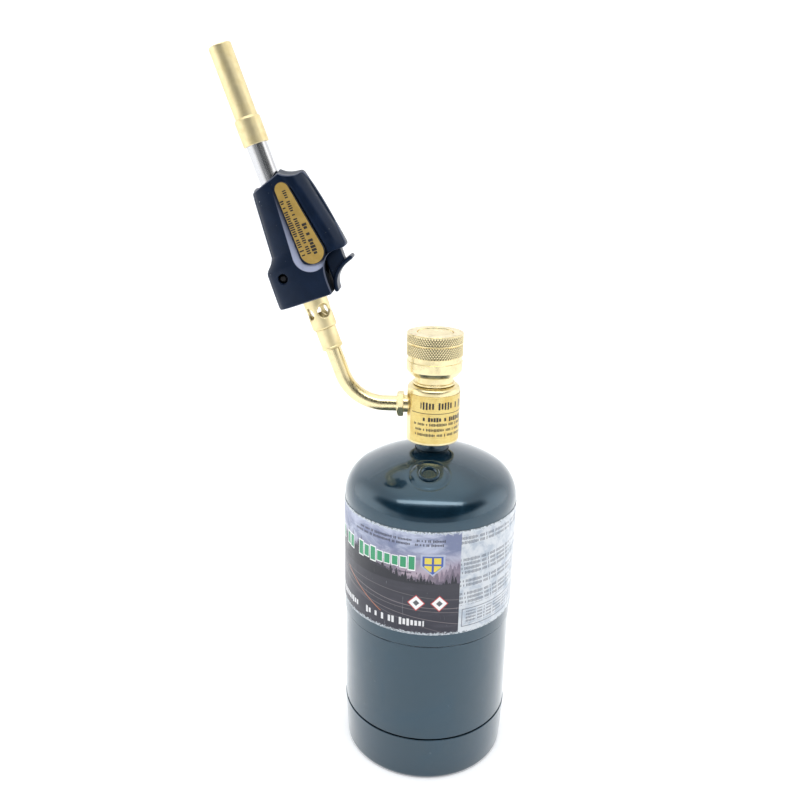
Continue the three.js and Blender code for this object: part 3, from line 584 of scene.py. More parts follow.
def navy_plastic():
    """Moulded plastic with a fine spark-eroded skin, a few light scuffs and dust, a painted highlight where the
    mark is above 0 and painted shade where it is below 0.
    """
    settings = bpy.context.scene.torch_plastic
    paint = Paint(
        "navy_plastic", Specular_IOR_Level=0.20, Specular_Tint=(0.45, 0.65, 1.0, 1.0),
        Coat_Roughness=0.20,
    )
    spot, x, y, z = paint.coordinates(BURNER)
    skin = paint.noise(spot, 5.5, 3.0, 0.6)
    cloud = paint.noise(spot, 0.09, 3.0, 0.55, 0.3)
    scuffs = paint.noise(paint.combine(x * 0.7, y * 0.7, z * 0.25), 1.0, 6.0, 0.75, 1.2)
    speck = paint.node("ShaderNodeTexVoronoi", {"feature": "F1"}, {"Vector": spot, "Scale": 0.30})
    low_down = paint.fit(z, 0.62, 0.50, 30.0, 60.0)
    dust = paint.step(speck, 0.11, 0.06) * paint.step(paint.noise(spot, 0.11), low_down, 0.75)
    navy = tuple(settings.navy)
    paler = tuple(channel * 1.35 for channel in navy)
    coloured = paint.mix(paint.step(cloud, 0.4, 0.7), navy, paler)
    coloured = paint.mix(paint.step(scuffs, 0.66, 0.76) * 0.16, coloured, (0.30, 0.33, 0.40))
    coloured = paint.mix(dust * 0.5, coloured, (0.30, 0.33, 0.38))
    sheen_and_shade = paint.attribute("mark")
    # A mark above 0 paints a pale highlight: a painted reflection on the pocket's slope and on the edge's bevel.
    coloured = paint.mix(paint.fit(sheen_and_shade, 0.0, 1.0), coloured, (0.34, 0.37, 0.50))
    # A mark below 0 paints near-black, rough shade inside the housing, in the undercut and in the screw hole.
    painted_shade = paint.step(sheen_and_shade, -0.2, -0.8)
    mottle = skin * 0.5 + cloud * 0.5
    satin = paint.fit(mottle, settings.roughness - 0.05, settings.roughness + 0.07, 0.3, 0.7)
    paint.shade(
        Base_Color=paint.mix(painted_shade, coloured, (0.001, 0.0015, 0.003)),
        Roughness=paint.either(satin, painted_shade * 0.95),
        Coat_Weight=paint.fit(painted_shade, 0.16, 0.0),
    )
    paint.bump(skin, 0.012)
    return paint.material


def plate_print():
    """Satin gold print on the plate's face with rows of plain marks; its rim and sides stay black, the rim a thin
    printed border and the sides painted shade round the raised plate.
    """
    paint = Paint("plate_print")
    spot, x, _, z = paint.coordinates(BURNER)
    lean = math.radians(2.0)
    across = x * math.cos(lean) + z * math.sin(lean)
    along = z * math.cos(lean) - x * math.sin(lean)
    down = 90.0 - along
    ink = rows_of_marks(paint, down, across, PLATE_ROWS)
    face = paint.step(paint.attribute("mark"), 0.34, 0.44)
    cloud = paint.noise(spot, 0.25, 4.0, 0.6)
    gold = paint.mix(paint.step(cloud, 0.35, 0.7), (0.47, 0.315, 0.085), (0.41, 0.265, 0.062))
    printed = paint.mix(ink, gold, (0.012, 0.010, 0.010))
    fine = paint.noise(spot, 6.0, 3.0)
    paint.shade(
        # Off the face the plate is near black: painted shade on its sides, and a thin dark printed border on its
        # rim.
        Base_Color=paint.mix(face, (0.006, 0.006, 0.008), printed),
        Metallic=face * (1.0 - ink) * 0.45,
        Roughness=paint.fit(fine, 0.36, 0.50, 0.3, 0.7),
    )
    paint.bump(fine, 0.006)
    return paint.material


def floor_paint():
    """Pale, almost even floor with the faintest cloud in it."""
    settings = bpy.context.scene.torch_studio
    pale = tuple(settings.floor)
    paint = Paint("studio_floor", Specular_IOR_Level=0.15, Emission_Strength=0.45)
    spot, _, _, z = paint.coordinates()
    glow = paint.step(z, 40.0, 900.0)
    cloud = paint.noise(spot, 0.004, 2.0)
    duller = tuple(channel * 0.985 for channel in pale)
    paint.shade(
        Base_Color=paint.mix(paint.step(cloud, 0.3, 0.7), pale, duller),
        Emission_Color=paint.mix(glow, (0.55, 0.55, 0.57), pale),
        Roughness=paint.fit(cloud, 0.45, 0.55, 0.3, 0.7),
    )
    return paint.material


def brass(name, place=UPRIGHT, roughness=0.28):
    """Turned brass of the chosen colour."""
    return turned_metal(name, tuple(bpy.context.scene.torch_brass.brass), roughness, place)


# The lean of the knurl's lines, in degrees, and the heights between which each band of it runs.
KNURL_LEAN = 38.0
KNURL_BANDS = ((243.0, 249.2), (250.2, 254.5))
KNURL_FADE = 0.25


def knob_brass():
    """The knob's brass: smooth bands, and painted shade that darkens the grooves between the pyramids of its
    knurling.
    """
    settings = bpy.context.scene.torch_brass
    paint = Paint("knob_brass", Metallic=1.0)
    spot, x, y, z = paint.coordinates()
    radius = extent("knob")[1][1]
    rise = FULL_TURN * radius / settings.knurls / math.tan(math.radians(KNURL_LEAN))
    turn = paint.math("ARCTAN2", y, x) * (settings.knurls / FULL_TURN)
    waves = [abs(((turn + z * (lean / rise)) % 1.0) * 2.0 - 1.0) for lean in (1, -1)]
    groove = paint.step(paint.either(*waves), 0.45, 0.90)
    bands = [
        paint.step(z, start, start + KNURL_FADE) * paint.step(z, end + KNURL_FADE, end)
        for start, end in KNURL_BANDS
    ]
    outside = paint.math("SQRT", x * x + y * y) > (radius - 0.45)
    groove = groove * paint.either(*bands) * outside
    cloud = paint.noise(spot, 0.16, 4.0, 0.6, 0.4)
    bright = tuple(settings.brass)
    duller = tuple(channel * 0.86 for channel in bright)
    coloured = paint.mix(paint.step(cloud, 0.42, 0.70), bright, duller)
    # The grooves' painted shade: their colour falls to 0.3 of the brass.
    paint.shade(
        Base_Color=paint.mix(groove, coloured, tuple(channel * 0.30 for channel in bright)),
        Roughness=paint.fit(cloud, 0.16, 0.30, 0.35, 0.65),
    )
    paint.bump(grain(paint, x, y, z, 2.5, 0.10), 0.004)
    return paint.material


STEEL = (0.66, 0.66, 0.67)
FINISHES = {
    "enamel": enamel,
    "printed_wrap": printed_wrap,
    "foil_print": foil_print,
    "navy_plastic": navy_plastic,
    "plate_print": plate_print,
    "column_brass": lambda: brass("column_brass"),
    "knob_brass": knob_brass,
    "outlet_brass": lambda: brass("outlet_brass", OUTLET),
    "burner_brass": lambda: brass("burner_brass", BURNER, 0.40),
    "pipe_brass": lambda: drawn_metal(
        "pipe_brass", tuple(bpy.context.scene.torch_brass.brass), 0.26, BURNER
    ),
    "polished_steel": lambda: drawn_metal("polished_steel", STEEL, 0.20, BURNER),
    "plain_steel": lambda: turned_metal("plain_steel", (0.55, 0.55, 0.56), 0.32),
    "black_oxide": lambda: turned_metal("black_oxide", (0.030, 0.030, 0.033), 0.45),
    "sintered_bronze": lambda: rough_solid(
        "sintered_bronze", (0.42, 0.28, 0.14), (0.25, 0.15, 0.08), 0.7, 4.0, 0.2, 0.9
    ),
    "rubber": lambda: rough_solid("rubber", (0.016, 0.016, 0.017), (0.03, 0.03, 0.03), 0.62, 3.0, 0.02),
    "ceramic": lambda: rough_solid("ceramic", (0.78, 0.75, 0.66), (0.66, 0.62, 0.52), 0.45, 2.0, 0.02),
    "white_plastic": lambda: rough_solid(
        "white_plastic", (0.74, 0.74, 0.72), (0.66, 0.66, 0.64), 0.38, 3.0, 0.01
    ),
    "black_plastic": lambda: rough_solid(
        "black_plastic", (0.010, 0.010, 0.012), (0.018, 0.018, 0.020), 0.40, 4.0, 0.015
    ),
    "silicone": lambda: rough_solid("silicone", (0.40, 0.035, 0.03), (0.30, 0.02, 0.02), 0.5, 2.0, 0.02),
    "studio_floor": floor_paint,
}
MADE_FINISHES = {}


def finish_named(name):
    """The material of that name, made the first time it is asked for."""
    if name not in MADE_FINISHES:
        MADE_FINISHES[name] = FINISHES[name]()
    return MADE_FINISHES[name]


def finish_cad_node(node, finish):
    """Gives a CAD node that stays in view its finish."""
    materials = frame["nodes"][node].data.materials
    materials.clear()
    materials.append(finish_named(finish))


# ---------------------------------------------------------------- surfaces

class Skin:
    """Grids of points in a local frame, gathered into one mesh.

    Each point may carry a mark, a number that its finish reads.
    """

    def __init__(self):
        self.points = []
        self.faces = []
        self.marks = []
        self.count = 0

    def grid(self, points, wrap_rows=False, wrap_columns=False, mark=None):
        """Joins a rows x columns x 3 array of points by quads; a wrapped direction closes on itself."""
        rows, columns = points.shape[:2]
        row = np.arange(rows if wrap_rows else rows - 1)[:, None]
        column = np.arange(columns if wrap_columns else columns - 1)[None, :]
        after = (row + 1) % rows
        right = (column + 1) % columns
        row, after = row * columns, after * columns
        corners = (row + column, row + right, after + right, after + column)
        self.faces.append(np.stack(corners, axis=-1).reshape(-1, 4) + self.count)
        self.points.append(points.reshape(-1, 3))
        self.marks.append(np.zeros(rows * columns) if mark is None else mark.ravel())
        self.count += rows * columns
        return self

    def piece(self, node, material, place=UPRIGHT, sharp=32.0, keep_marks=False):
        """Makes the piece that stands for a CAD node: placed, welded, its faces turned outwards."""
        name = node + "_surface"
        points = (np.concatenate(self.points) @ place[:3, :3].T + place[:3, 3]) * MM
        mesh = bpy.data.meshes.new(name)
        mesh.from_pydata(points.tolist(), [], np.concatenate(self.faces).tolist())
        if keep_marks:
            layer = mesh.attributes.new("mark", "FLOAT", "POINT")
            layer.data.foreach_set("value", np.concatenate(self.marks).astype(np.float32))
        shell = bmesh.new()
        shell.from_mesh(mesh)
        bmesh.ops.remove_doubles(shell, verts=shell.verts, dist=2e-6)
        bmesh.ops.dissolve_degenerate(shell, edges=shell.edges, dist=1e-6)
        bmesh.ops.recalc_face_normals(shell, faces=shell.faces)
        shell.to_mesh(mesh)
        shell.free()
        mesh.shade_smooth()
        mesh.set_sharp_from_angle(angle=math.radians(sharp))
        mesh.materials.append(finish_named(material))
        piece = bpy.data.objects.new(name, mesh)
        bpy.context.scene.collection.objects.link(piece)
        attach(piece, BODY_OF[node])
        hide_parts(node)


def unit(vector):
    """The vector at length 1."""
    return vector / np.linalg.norm(vector)


def unit_rows(vectors):
    """Each row at length 1."""
    return vectors / np.linalg.norm(vectors, axis=1, keepdims=True)


def triangle(phase):
    """A triangle wave: 1 at whole numbers and 0 halfway between them."""
    return np.abs(2 * (phase % 1.0) - 1)


def helix(angle, height, pitch):
    """A triangle wave that climbs one pitch in each turn."""
    return triangle(height / pitch - angle / FULL_TURN)


def smooth_step(value, start, end):
    """Rises smoothly from 0 to 1 as the value goes from start to end."""
    t = np.clip((value - start) / (end - start), 0, 1)
    return t * t * (3 - 2 * t)


def rounded(corners, closed=True, steps=4):
    """Carries an outline of (x, y, fillet) corners round its fillets.

    Each filleted corner becomes an arc tangent to both sides, with a guard point on each side, so
    that the flats beside it keep their own shading.
    """
    points = []
    count = len(corners)
    for i, corner in enumerate(corners):
        here = np.array(corner[:2], dtype=float)
        fillet = corner[2] if len(corner) > 2 else 0
        if not fillet or (not closed and i in (0, count - 1)):
            points.append(here)
            continue
        before = np.array(corners[i - 1][:2]) - here
        after = np.array(corners[(i + 1) % count][:2]) - here
        half = math.acos(np.clip(unit(before) @ unit(after), -1, 1)) / 2
        reach = fillet / math.tan(half)
        centre = here + unit(unit(before) + unit(after)) * fillet / math.sin(half)
        first = here + unit(before) * reach - centre
        last = here + unit(after) * reach - centre
        turn = math.pi - 2 * half
        guard = fillet * 0.3
        if reach + guard < np.linalg.norm(before) * 0.5:
            points.append(here + unit(before) * (reach + guard))
        for k in range(steps + 1):
            part = k / steps
            blend = (first * math.sin((1 - part) * turn) + last * math.sin(part * turn)) / math.sin(turn)
            points.append(centre + blend)
        if reach + guard < np.linalg.norm(after) * 0.5:
            points.append(here + unit(after) * (reach + guard))
    return np.array(points)


def arc(centre_x, centre_y, radius, start, end, steps):
    """Points on an arc between two angles in degrees."""
    angle = np.radians(np.linspace(start, end, steps + 1))
    return np.stack((centre_x + radius * np.cos(angle), centre_y + radius * np.sin(angle)), axis=-1)


def refined(outline, longest, low, high, closed=True):
    """Splits the sides of an outline that lie between two heights into steps no longer than longest."""
    points = []
    last = len(outline) if closed else len(outline) - 1
    for i in range(last):
        here, after = outline[i], outline[(i + 1) % len(outline)]
        points.append(here)
        if min(here[1], after[1]) >= low and max(here[1], after[1]) <= high:
            count = int(np.linalg.norm(after - here) / longest)
            parts = np.linspace(0, 1, count + 2)[1:-1, None]
            points.extend(here + (after - here) * parts)
    if not closed:
        points.append(outline[-1])
    return np.array(points)


def turned(outline, sides=96, closed=True, relief=None):
    """A turned skin: the outline's (radius, height) carried round the z axis.

    relief gives how much the radius shrinks at an angle and a height, such as a knurl or a thread.
    """
    angle = np.arange(sides)[None, :] * FULL_TURN / sides
    radius = outline[:, 0, None] + 0 * angle
    height = outline[:, 1, None] + 0 * angle
    if relief is not None:
        radius = radius - relief(angle, height, radius)
    points = np.stack((radius * np.cos(angle), radius * np.sin(angle), height), axis=-1)
    return Skin().grid(points, wrap_rows=closed, wrap_columns=True)


def lathe_piece(node, corners, material, place=UPRIGHT, sides=96, steps=4):
    """A turned piece from its corners; an outline that starts and ends on the axis stays open there."""
    closed = corners[0][0] != 0
    return turned(rounded(corners, closed, steps), sides, closed).piece(node, material, place)


def swept(path, across, radius, sides, bore=0.0):
    """A round rod or pipe: a circle carried along a path in the plane square to the across vector.

    A ring's points are the path's point plus cos and sin of an angle times the in-plane normal and
    the across vector. A pipe's inner rings run back along the path, so that it closes on itself.
    """
    tangent = np.gradient(path, axis=0)
    tangent /= np.linalg.norm(tangent, axis=1, keepdims=True)
    side = np.broadcast_to(across, path.shape)
    normal = np.cross(side, tangent)
    normal /= np.linalg.norm(normal, axis=1, keepdims=True)
    side = np.cross(tangent, normal)
    angle = (np.arange(sides) * FULL_TURN / sides)[None, :, None]
    spoke = np.cos(angle) * normal[:, None] + np.sin(angle) * side[:, None]
    outer = path[:, None] + radius * spoke
    if bore:
        inner = path[::-1, None] + bore * spoke[::-1]
        return Skin().grid(np.concatenate((outer, inner)), wrap_rows=True, wrap_columns=True)
    start = np.broadcast_to(path[:1, None], outer[:1].shape)
    end = np.broadcast_to(path[-1:, None], outer[:1].shape)
    return Skin().grid(np.concatenate((start, outer, end)), wrap_columns=True)


def coiled(node, material, place, radius, wire, low, high, turns):
    """A compression spring: a round wire on a helix whose end turns close up and lie flat."""
    count = int(turns * 28)
    part = np.linspace(0, 1, count)
    angle = part * FULL_TURN * turns
    flat = 0.75 / turns
    climb = np.clip((part - flat) / (1 - 2 * flat), 0, 1)
    height = low + wire + climb * (high - low - 2 * wire) + (part - 0.5) * 0.02
    path = np.stack((radius * np.cos(angle), radius * np.sin(angle), height), axis=-1)
    return swept(path, np.array((0, 0, 1.0)), wire, 8).piece(node, material, place)


def curve_through(points, count):
    """A smooth path through a few points: each span is a Catmull-Rom cubic."""
    knots = np.array(points, dtype=float)
    knots = np.concatenate((2 * knots[:1] - knots[1:2], knots, 2 * knots[-1:] - knots[-2:-1]))
    spans = len(knots) - 3
    place = np.linspace(0, spans, count)
    span = np.minimum(place.astype(int), spans - 1)
    t = (place - span)[:, None]
    a, b, c, d = (knots[span + k] for k in range(4))
    square = (2 * a - 5 * b + 4 * c - d) * t ** 2
    cube = (3 * b - a - 3 * c + d) * t ** 3
    return 0.5 * (2 * b + (c - a) * t + square + cube)


# ---------------------------------------------------------------- gas cylinder

# Sheet thickness; the dome's knuckle and crown radii, where it starts and the hole at its top; the
# bowl at the bottom; the lower shell's wall; and the radii and levels of the boss under its thread.
SHEET = 0.9
KNUCKLE = 19.5
CROWN = 77.0
DOME_START = 161.7
DOME_HOLE = 9.6
BOWL_RADIUS = 46.8
BOWL_LEVEL = 26.0
BOWL_DEPTH = 22.0
LOWER_WALL = 48.6
BOSS_NECK = 9.3
BOSS_FLANGE = 187.1
BOSS_THREAD_START = 193.4
BOSS_PITCH = 1.27


def dome_outline(shell_radius, inset):
    """Half section of the dome: a knuckle arc, then the crown's larger arc up to its hole."""
    reach = shell_radius - KNUCKLE
    crown_centre = DOME_START - math.sqrt((CROWN - KNUCKLE) ** 2 - reach ** 2)
    end = math.degrees(math.atan2(DOME_START - crown_centre, reach))
    top = math.degrees(math.acos(DOME_HOLE / (CROWN - inset)))
    knuckle = arc(reach, DOME_START, KNUCKLE - inset, 0, end, 36)
    crown = arc(0, crown_centre, CROWN - inset, end, top, 90)
    return np.concatenate((knuckle, crown[1:]))


def swage(points):
    """Raises a soft disc in the dome round the relief valve, with a shallow groove at its edge.

    The lift follows the distance from the valve's axis: a plateau that falls away in a smooth step
    at its edge, where a narrow dip runs round it.
    """
    local = (points - VENT[:3, 3]) @ VENT[:3, :3]
    distance = np.hypot(local[..., 0], local[..., 1])
    near = np.abs(local[..., 2]) < 8
    plateau = 1 / (1 + np.exp((distance - 9.8) / 0.55))
    groove = np.exp(-((distance - 11.0) / 0.8) ** 2)
    dish = np.exp(-(distance / 5.0) ** 2)
    lift = (0.42 * plateau - 0.22 * groove - 0.30 * dish) * near
    return points + lift[..., None] * VENT[:3, 2]


class TORCH_OT_cylinder(bpy.types.Operator):
    """Builds the gas cylinder's foot cup and its two drawn shells"""

    bl_idname = "torch.cylinder"
    bl_label = "Gas cylinder"

    def execute(self, context):
        sides = context.scene.torch_tank.sides
        low, high = extent("foot_cup")
        top, rim = high[2], high[0]
        foot_corners = [
            (0, 0), (rim - 3.4, 0, 1.2), (rim - 1.25, 1.6, 2.8), (rim, top, 0.32), (rim - SHEET, top, 0.25),
            (rim - 1.0 - SHEET, 3.6, 2.2), (rim - 5.2, SHEET, 1.0), (0, SHEET),
        ]
        lathe_piece("foot_cup", foot_corners, "enamel", sides=sides, steps=7)

        shell = extent("upper_shell")[1][0]
        lap = extent("upper_shell")[0][2]
        shelf = extent("lower_shell")[1][2]
        neck = shell - SHEET - 0.3
        quarter = arc(0, 0, 1.0, -90, 0, 20)
        outside = [(max(x * BOWL_RADIUS, 0), BOWL_LEVEL + y * BOWL_DEPTH) for x, y in quarter]
        inside = [
            (max(x * (BOWL_RADIUS - SHEET), 0), BOWL_LEVEL + y * (BOWL_DEPTH - SHEET))
            for x, y in quarter[::-1]
        ]
        outline = np.concatenate((
            outside,
            rounded([
                (BOWL_RADIUS, top + 0.1), (LOWER_WALL, top + 0.9, 0.5), (LOWER_WALL, lap - 0.9, 0.3),
                (neck, lap - 0.3, 0.2), (neck, shelf), (neck - SHEET, shelf), (neck - SHEET, lap - 0.3),
                (LOWER_WALL - SHEET, lap - 1.5), (LOWER_WALL - SHEET, top + 1.6),
                (BOWL_RADIUS - SHEET, top + 0.5),
            ], closed=False),
            inside,
        ))
        turned(outline, sides, closed=False).piece("lower_shell", "enamel")

        lip = rounded([
            (shell - SHEET, lap + 9), (shell - SHEET, lap, 0.25), (shell, lap, 0.38), (shell, lap + 9),
        ], closed=False)
        outside = dome_outline(shell, 0)
        inside = dome_outline(shell, SHEET)[::-1]
        points = turned(np.concatenate((lip, outside, inside)), sides).points[0]
        skin = Skin().grid(swage(points.reshape(-1, sides, 3)), wrap_rows=True, wrap_columns=True)
        skin.piece("upper_shell", "enamel")
        return {"FINISHED"}


class TORCH_OT_wrap(bpy.types.Operator):
    """Builds the printed wrap round the upper shell"""

    bl_idname = "torch.wrap"
    bl_label = "Printed wrap"

    def execute(self, context):
        low, high = extent("tank_label")
        radius = high[0]
        inner = radius - 0.2
        corners = [(inner, low[2]), (radius, low[2], 0.05), (radius, high[2], 0.05), (inner, high[2])]
        outline = refined(rounded(corners, steps=2), 2.0, low[2], high[2])

        def creases(angle, height, around):
            """Low waves in the film, a few hundredths of a millimetre deep, on its outer face."""
            wave = np.sin(7 * angle + height * 0.11) * np.sin(height * 0.19 + 3 * angle)
            return np.where(around > radius - 0.1, 0.03 * (1 - wave), 0)

        turned(outline, context.scene.torch_tank.sides, relief=creases).piece("tank_label", "printed_wrap")
        return {"FINISHED"}


class TORCH_OT_boss(bpy.types.Operator):
    """Builds the threaded boss with its helical thread, and the valve in its bore"""

    bl_idname = "torch.boss"
    bl_label = "Threaded boss"

    def execute(self, context):
        low, high = extent("threaded_boss")
        bottom, top, thread = low[2], high[2], high[0]
        start = BOSS_THREAD_START
        corners = [
            (2.0, bottom), (8.0, bottom, 0.3), (8.0, 183.5), (12.0, 183.5), (12.0, BOSS_FLANGE, 0.3),
            (BOSS_NECK, BOSS_FLANGE, 0.3), (BOSS_NECK, start, 0.25), (thread - 0.7, start + 0.6),
            (thread, start + 1.3, 0.2), (thread, top - 0.7, 0.2), (thread - 0.7, top, 0.15),
            (4.2, top, 0.2), (4.2, 180.0, 0.4), (2.0, 180.0),
        ]
        outline = refined(rounded(corners), 0.12, start + 1.0, top - 0.4)

        def thread_cut(angle, height, radius):
            """A helical groove that runs out at both ends."""
            ends = np.clip((height - start - 1.0) / 0.8, 0, 1) * np.clip((top - 0.5 - height) / 0.8, 0, 1)
            return np.where(radius > thread - 0.3, 0.62 * helix(angle, height, BOSS_PITCH) * ends, 0)

        turned(outline, 128, relief=thread_cut).piece("threaded_boss", "enamel")
        core = [(1.2, 190.0, 0.15), (3.9, 190.0, 0.2), (3.9, 199.5, 0.3), (1.2, 199.5, 0.3)]
        lathe_piece("cylinder_valve_core", core, "column_brass", sides=48)
        pin = [
            (0, 186.4), (1.5, 186.4, 0.2), (1.5, 187.4), (2.8, 187.4, 0.1), (2.8, 188.8, 0.2), (0.9, 189.2),
            (0.9, 201.5, 0.3), (0, 201.5),
        ]
        lathe_piece("cylinder_valve_pin", pin, "plain_steel", sides=32)
        coiled("cylinder_valve_spring", "plain_steel", UPRIGHT, 2.2, 0.35, 180.3, 187.1, 5)
        return {"FINISHED"}


class TORCH_OT_relief(bpy.types.Operator):
    """Builds the relief valve that stands square to the dome"""

    bl_idname = "torch.relief"
    bl_label = "Relief valve"

    def execute(self, context):
        place = VENT @ np.array(((1, 0, 0, 0), (0, 1, 0, 0), (0, 0, 1, -1.4), (0, 0, 0, 1.0)))
        body = [
            (1.4, -9.0), (4.6, -9.0, 0.3), (4.6, 0.1), (5.7, 0.1, 0.12), (5.7, 0.95, 0.35), (5.2, 1.4, 0.3),
            (4.1, 1.4, 0.3), (3.5, 0.7, 0.3), (3.5, -7.5, 0.3), (1.4, -7.5),
        ]
        lathe_piece("relief_valve_body", body, "enamel", place, 72, steps=5)
        poppet = [
            (0, -7.2), (3.2, -7.2, 0.2), (3.2, -5.9, 0.2), (1.0, -5.7, 0.1), (1.0, -0.5, 0.35), (0, -0.5),
        ]
        lathe_piece("relief_poppet", poppet, "column_brass", place, 40)
        coiled("relief_spring", "plain_steel", place, 2.0, 0.3, -5.5, -1.8, 4)
        retainer = [(1.3, -1.6, 0.15), (3.3, -1.6, 0.1), (3.3, -0.8, 0.2), (1.3, -0.8, 0.2)]
        lathe_piece("relief_retainer", retainer, "black_plastic", place, 40)
        return {"FINISHED"}


# ---------------------------------------------------------------- valve column

class TORCH_OT_column(bpy.types.Operator):
    """Builds the valve body, its bonnet and the pieces inside them"""

    bl_idname = "torch.column"
    bl_label = "Valve column"

    def execute(self, context):
        low, high = extent("valve_body")
        bottom, top, radius = low[2], high[2], high[1]
        body = [
            (12.9, bottom, 0.15), (radius, bottom, 0.45), (radius, top, 2.4), (11.9, top), (8.5, top, 0.2),
            (8.5, 217.0, 0.3), (4.5, 217.0, 0.2), (4.5, 210.5), (1.2, 210.5), (1.2, 209.0), (3.2, 209.0),
            (3.2, 204.8), (12.9, 204.8, 0.3),
        ]
        lathe_piece("valve_body", body, "column_brass", sides=160, steps=8)
        bonnet = [
            (3.9, 217.3), (8.2, 217.3, 0.2), (8.2, top + 0.3), (11.7, top + 0.3, 0.35),
            (11.7, 227.8, 0.35), (10.7, 227.8, 0.2), (10.7, 238.0, 0.4), (2.7, 238.0), (2.7, 230.6),
            (4.45, 230.6), (4.45, 228.4), (2.7, 228.4), (2.7, 226.0), (3.9, 226.0),
        ]
        lathe_piece("bonnet", bonnet, "column_brass", sides=144)
        gasket = [(4.6, 203.9, 0.12), (11.5, 203.9, 0.15), (11.5, 204.5, 0.15), (4.6, 204.5, 0.12)]
        lathe_piece("inlet_gasket", gasket, "rubber", sides=64)
        depressor = [
            (0.6, 201.9), (1.3, 201.9, 0.15), (1.3, 205.2), (2.9, 205.2), (2.9, 206.9, 0.15), (0.6, 206.9),
        ]
        lathe_piece("depressor_pin", depressor, "column_brass", sides=36)
        disc = [(0, 207.2), (2.9, 207.2, 0.15), (2.9, 208.7, 0.15), (0, 208.7)]
        lathe_piece("inlet_filter", disc, "sintered_bronze", sides=40)
        turned(arc(3.4, 229.5, 0.8, 0, 345, 23), 48).piece("stem_seal", "rubber")
        spindle = [
            (0, 210.8), (0.6, 210.8, 0.15), (2.3, 213.2, 0.2), (2.3, 219.0), (3.6, 219.4, 0.1),
            (3.6, 223.9, 0.1), (2.4, 224.3), (2.4, 239.4, 0.1), (2.0, 239.8), (2.0, 250.6, 0.2),
            (1.5, 250.6), (1.5, 244.0), (0, 244.0),
        ]
        outline = refined(rounded(spindle, closed=False), 0.14, 219.5, 223.8, closed=False)

        def needle_thread(angle, height, around):
            """A helical groove of 1 mm pitch where the spindle is thickest."""
            return np.where(around > 3.5, 0.4 * helix(angle, height, 1.0), 0)

        turned(outline, 48, closed=False, relief=needle_thread).piece("needle_spindle", "plain_steel")
        return {"FINISHED"}


class TORCH_OT_foil(bpy.types.Operator):
    """Builds the foil label round the front of the valve body"""

    bl_idname = "torch.foil"
    bl_label = "Foil label"

    def execute(self, context):
        low, high = extent("body_label")
        outer = high[0]
        inner = outer - 0.15
        angle = np.radians(np.linspace(FOIL_START, FOIL_END, 140))
        section = np.array((
            (inner, low[2]), (outer, low[2] + 0.04), (outer, high[2] - 0.04), (inner, high[2]),
        ))
        spokes = np.stack((np.cos(angle), np.sin(angle)), axis=-1)
        radius = section[:, 0][:, None, None] * spokes[None]
        height = np.broadcast_to(section[:, 1][:, None, None], (4, len(angle), 1))
        band = np.concatenate((radius, height), axis=-1)
        ends = [np.broadcast_to(band[:, k].mean(axis=0), (4, 1, 3)) for k in (0, -1)]
        skin = Skin().grid(np.concatenate((ends[0], band, ends[1]), axis=1), wrap_rows=True)
        skin.piece("body_label", "foil_print")
        return {"FINISHED"}


class TORCH_OT_knob(bpy.types.Operator):
    """Builds the knurled knob with its cap and screw"""

    bl_idname = "torch.knob"
    bl_label = "Knob"

    def execute(self, context):
        settings = context.scene.torch_brass
        low, high = extent("knob")
        bottom, top, radius = low[2], high[2], high[1]
        under = radius - 0.5
        corners = [
            (11.2, bottom, 0.2), (13.6, bottom, 0.4), (radius, bottom + 2.8, 0.25), (radius, 239.75, 0.16),
            (under, 239.9, 0.08), (under, 242.6, 0.08), (radius, 242.9, 0.1), (radius, 249.3, 0.1),
            (under, 249.5, 0.06), (under, 249.9, 0.06), (radius, 250.1, 0.1), (radius, top - 0.05, 0.5),
            (10.1, top, 0.25), (9.8, 254.3), (4.4, 254.3), (4.4, 251.2), (2.3, 251.2), (2.3, 240.2),
            (11.2, 240.2, 0.3),
        ]
        outline = refined(rounded(corners), 0.21, 242.9, top - 0.6)
        depth = settings.knurl_depth / MM
        rise = FULL_TURN * radius / settings.knurls / math.tan(math.radians(KNURL_LEAN))

        def knurl(angle, height, around):
            """Pyramids: the lower of two triangle waves that climb opposite ways round the knob."""
            turn = angle * settings.knurls / FULL_TURN
            groove = np.maximum(triangle(turn + height / rise), triangle(turn - height / rise)) ** 2.2
            kept = [
                np.clip((height - start) / KNURL_FADE, 0, 1) * np.clip((end - height) / KNURL_FADE, 0, 1)
                for start, end in KNURL_BANDS
            ]
            return np.where(around > radius - 0.12, depth * groove * np.maximum(*kept), 0)

        turned(outline, settings.knurls * 6, relief=knurl).piece("knob", "knob_brass", sharp=50)
        cap = [
            (0, 254.6), (9.5, 254.6, 0.1), (9.5, 255.1, 0.15), (8.6, 255.1, 0.6), (8.3, 254.95, 0.6),
            (0, 254.95),
        ]
        lathe_piece("knob_cap", cap, "column_brass", sides=120)
        screw = [
            (0, 245.0), (1.2, 245.0, 0.2), (1.2, 251.5), (3.6, 251.5, 0.2), (3.6, 253.2, 0.5), (0, 253.5),
        ]
        lathe_piece("knob_screw", screw, "plain_steel", sides=40)
        return {"FINISHED"}


# ---------------------------------------------------------------- gooseneck

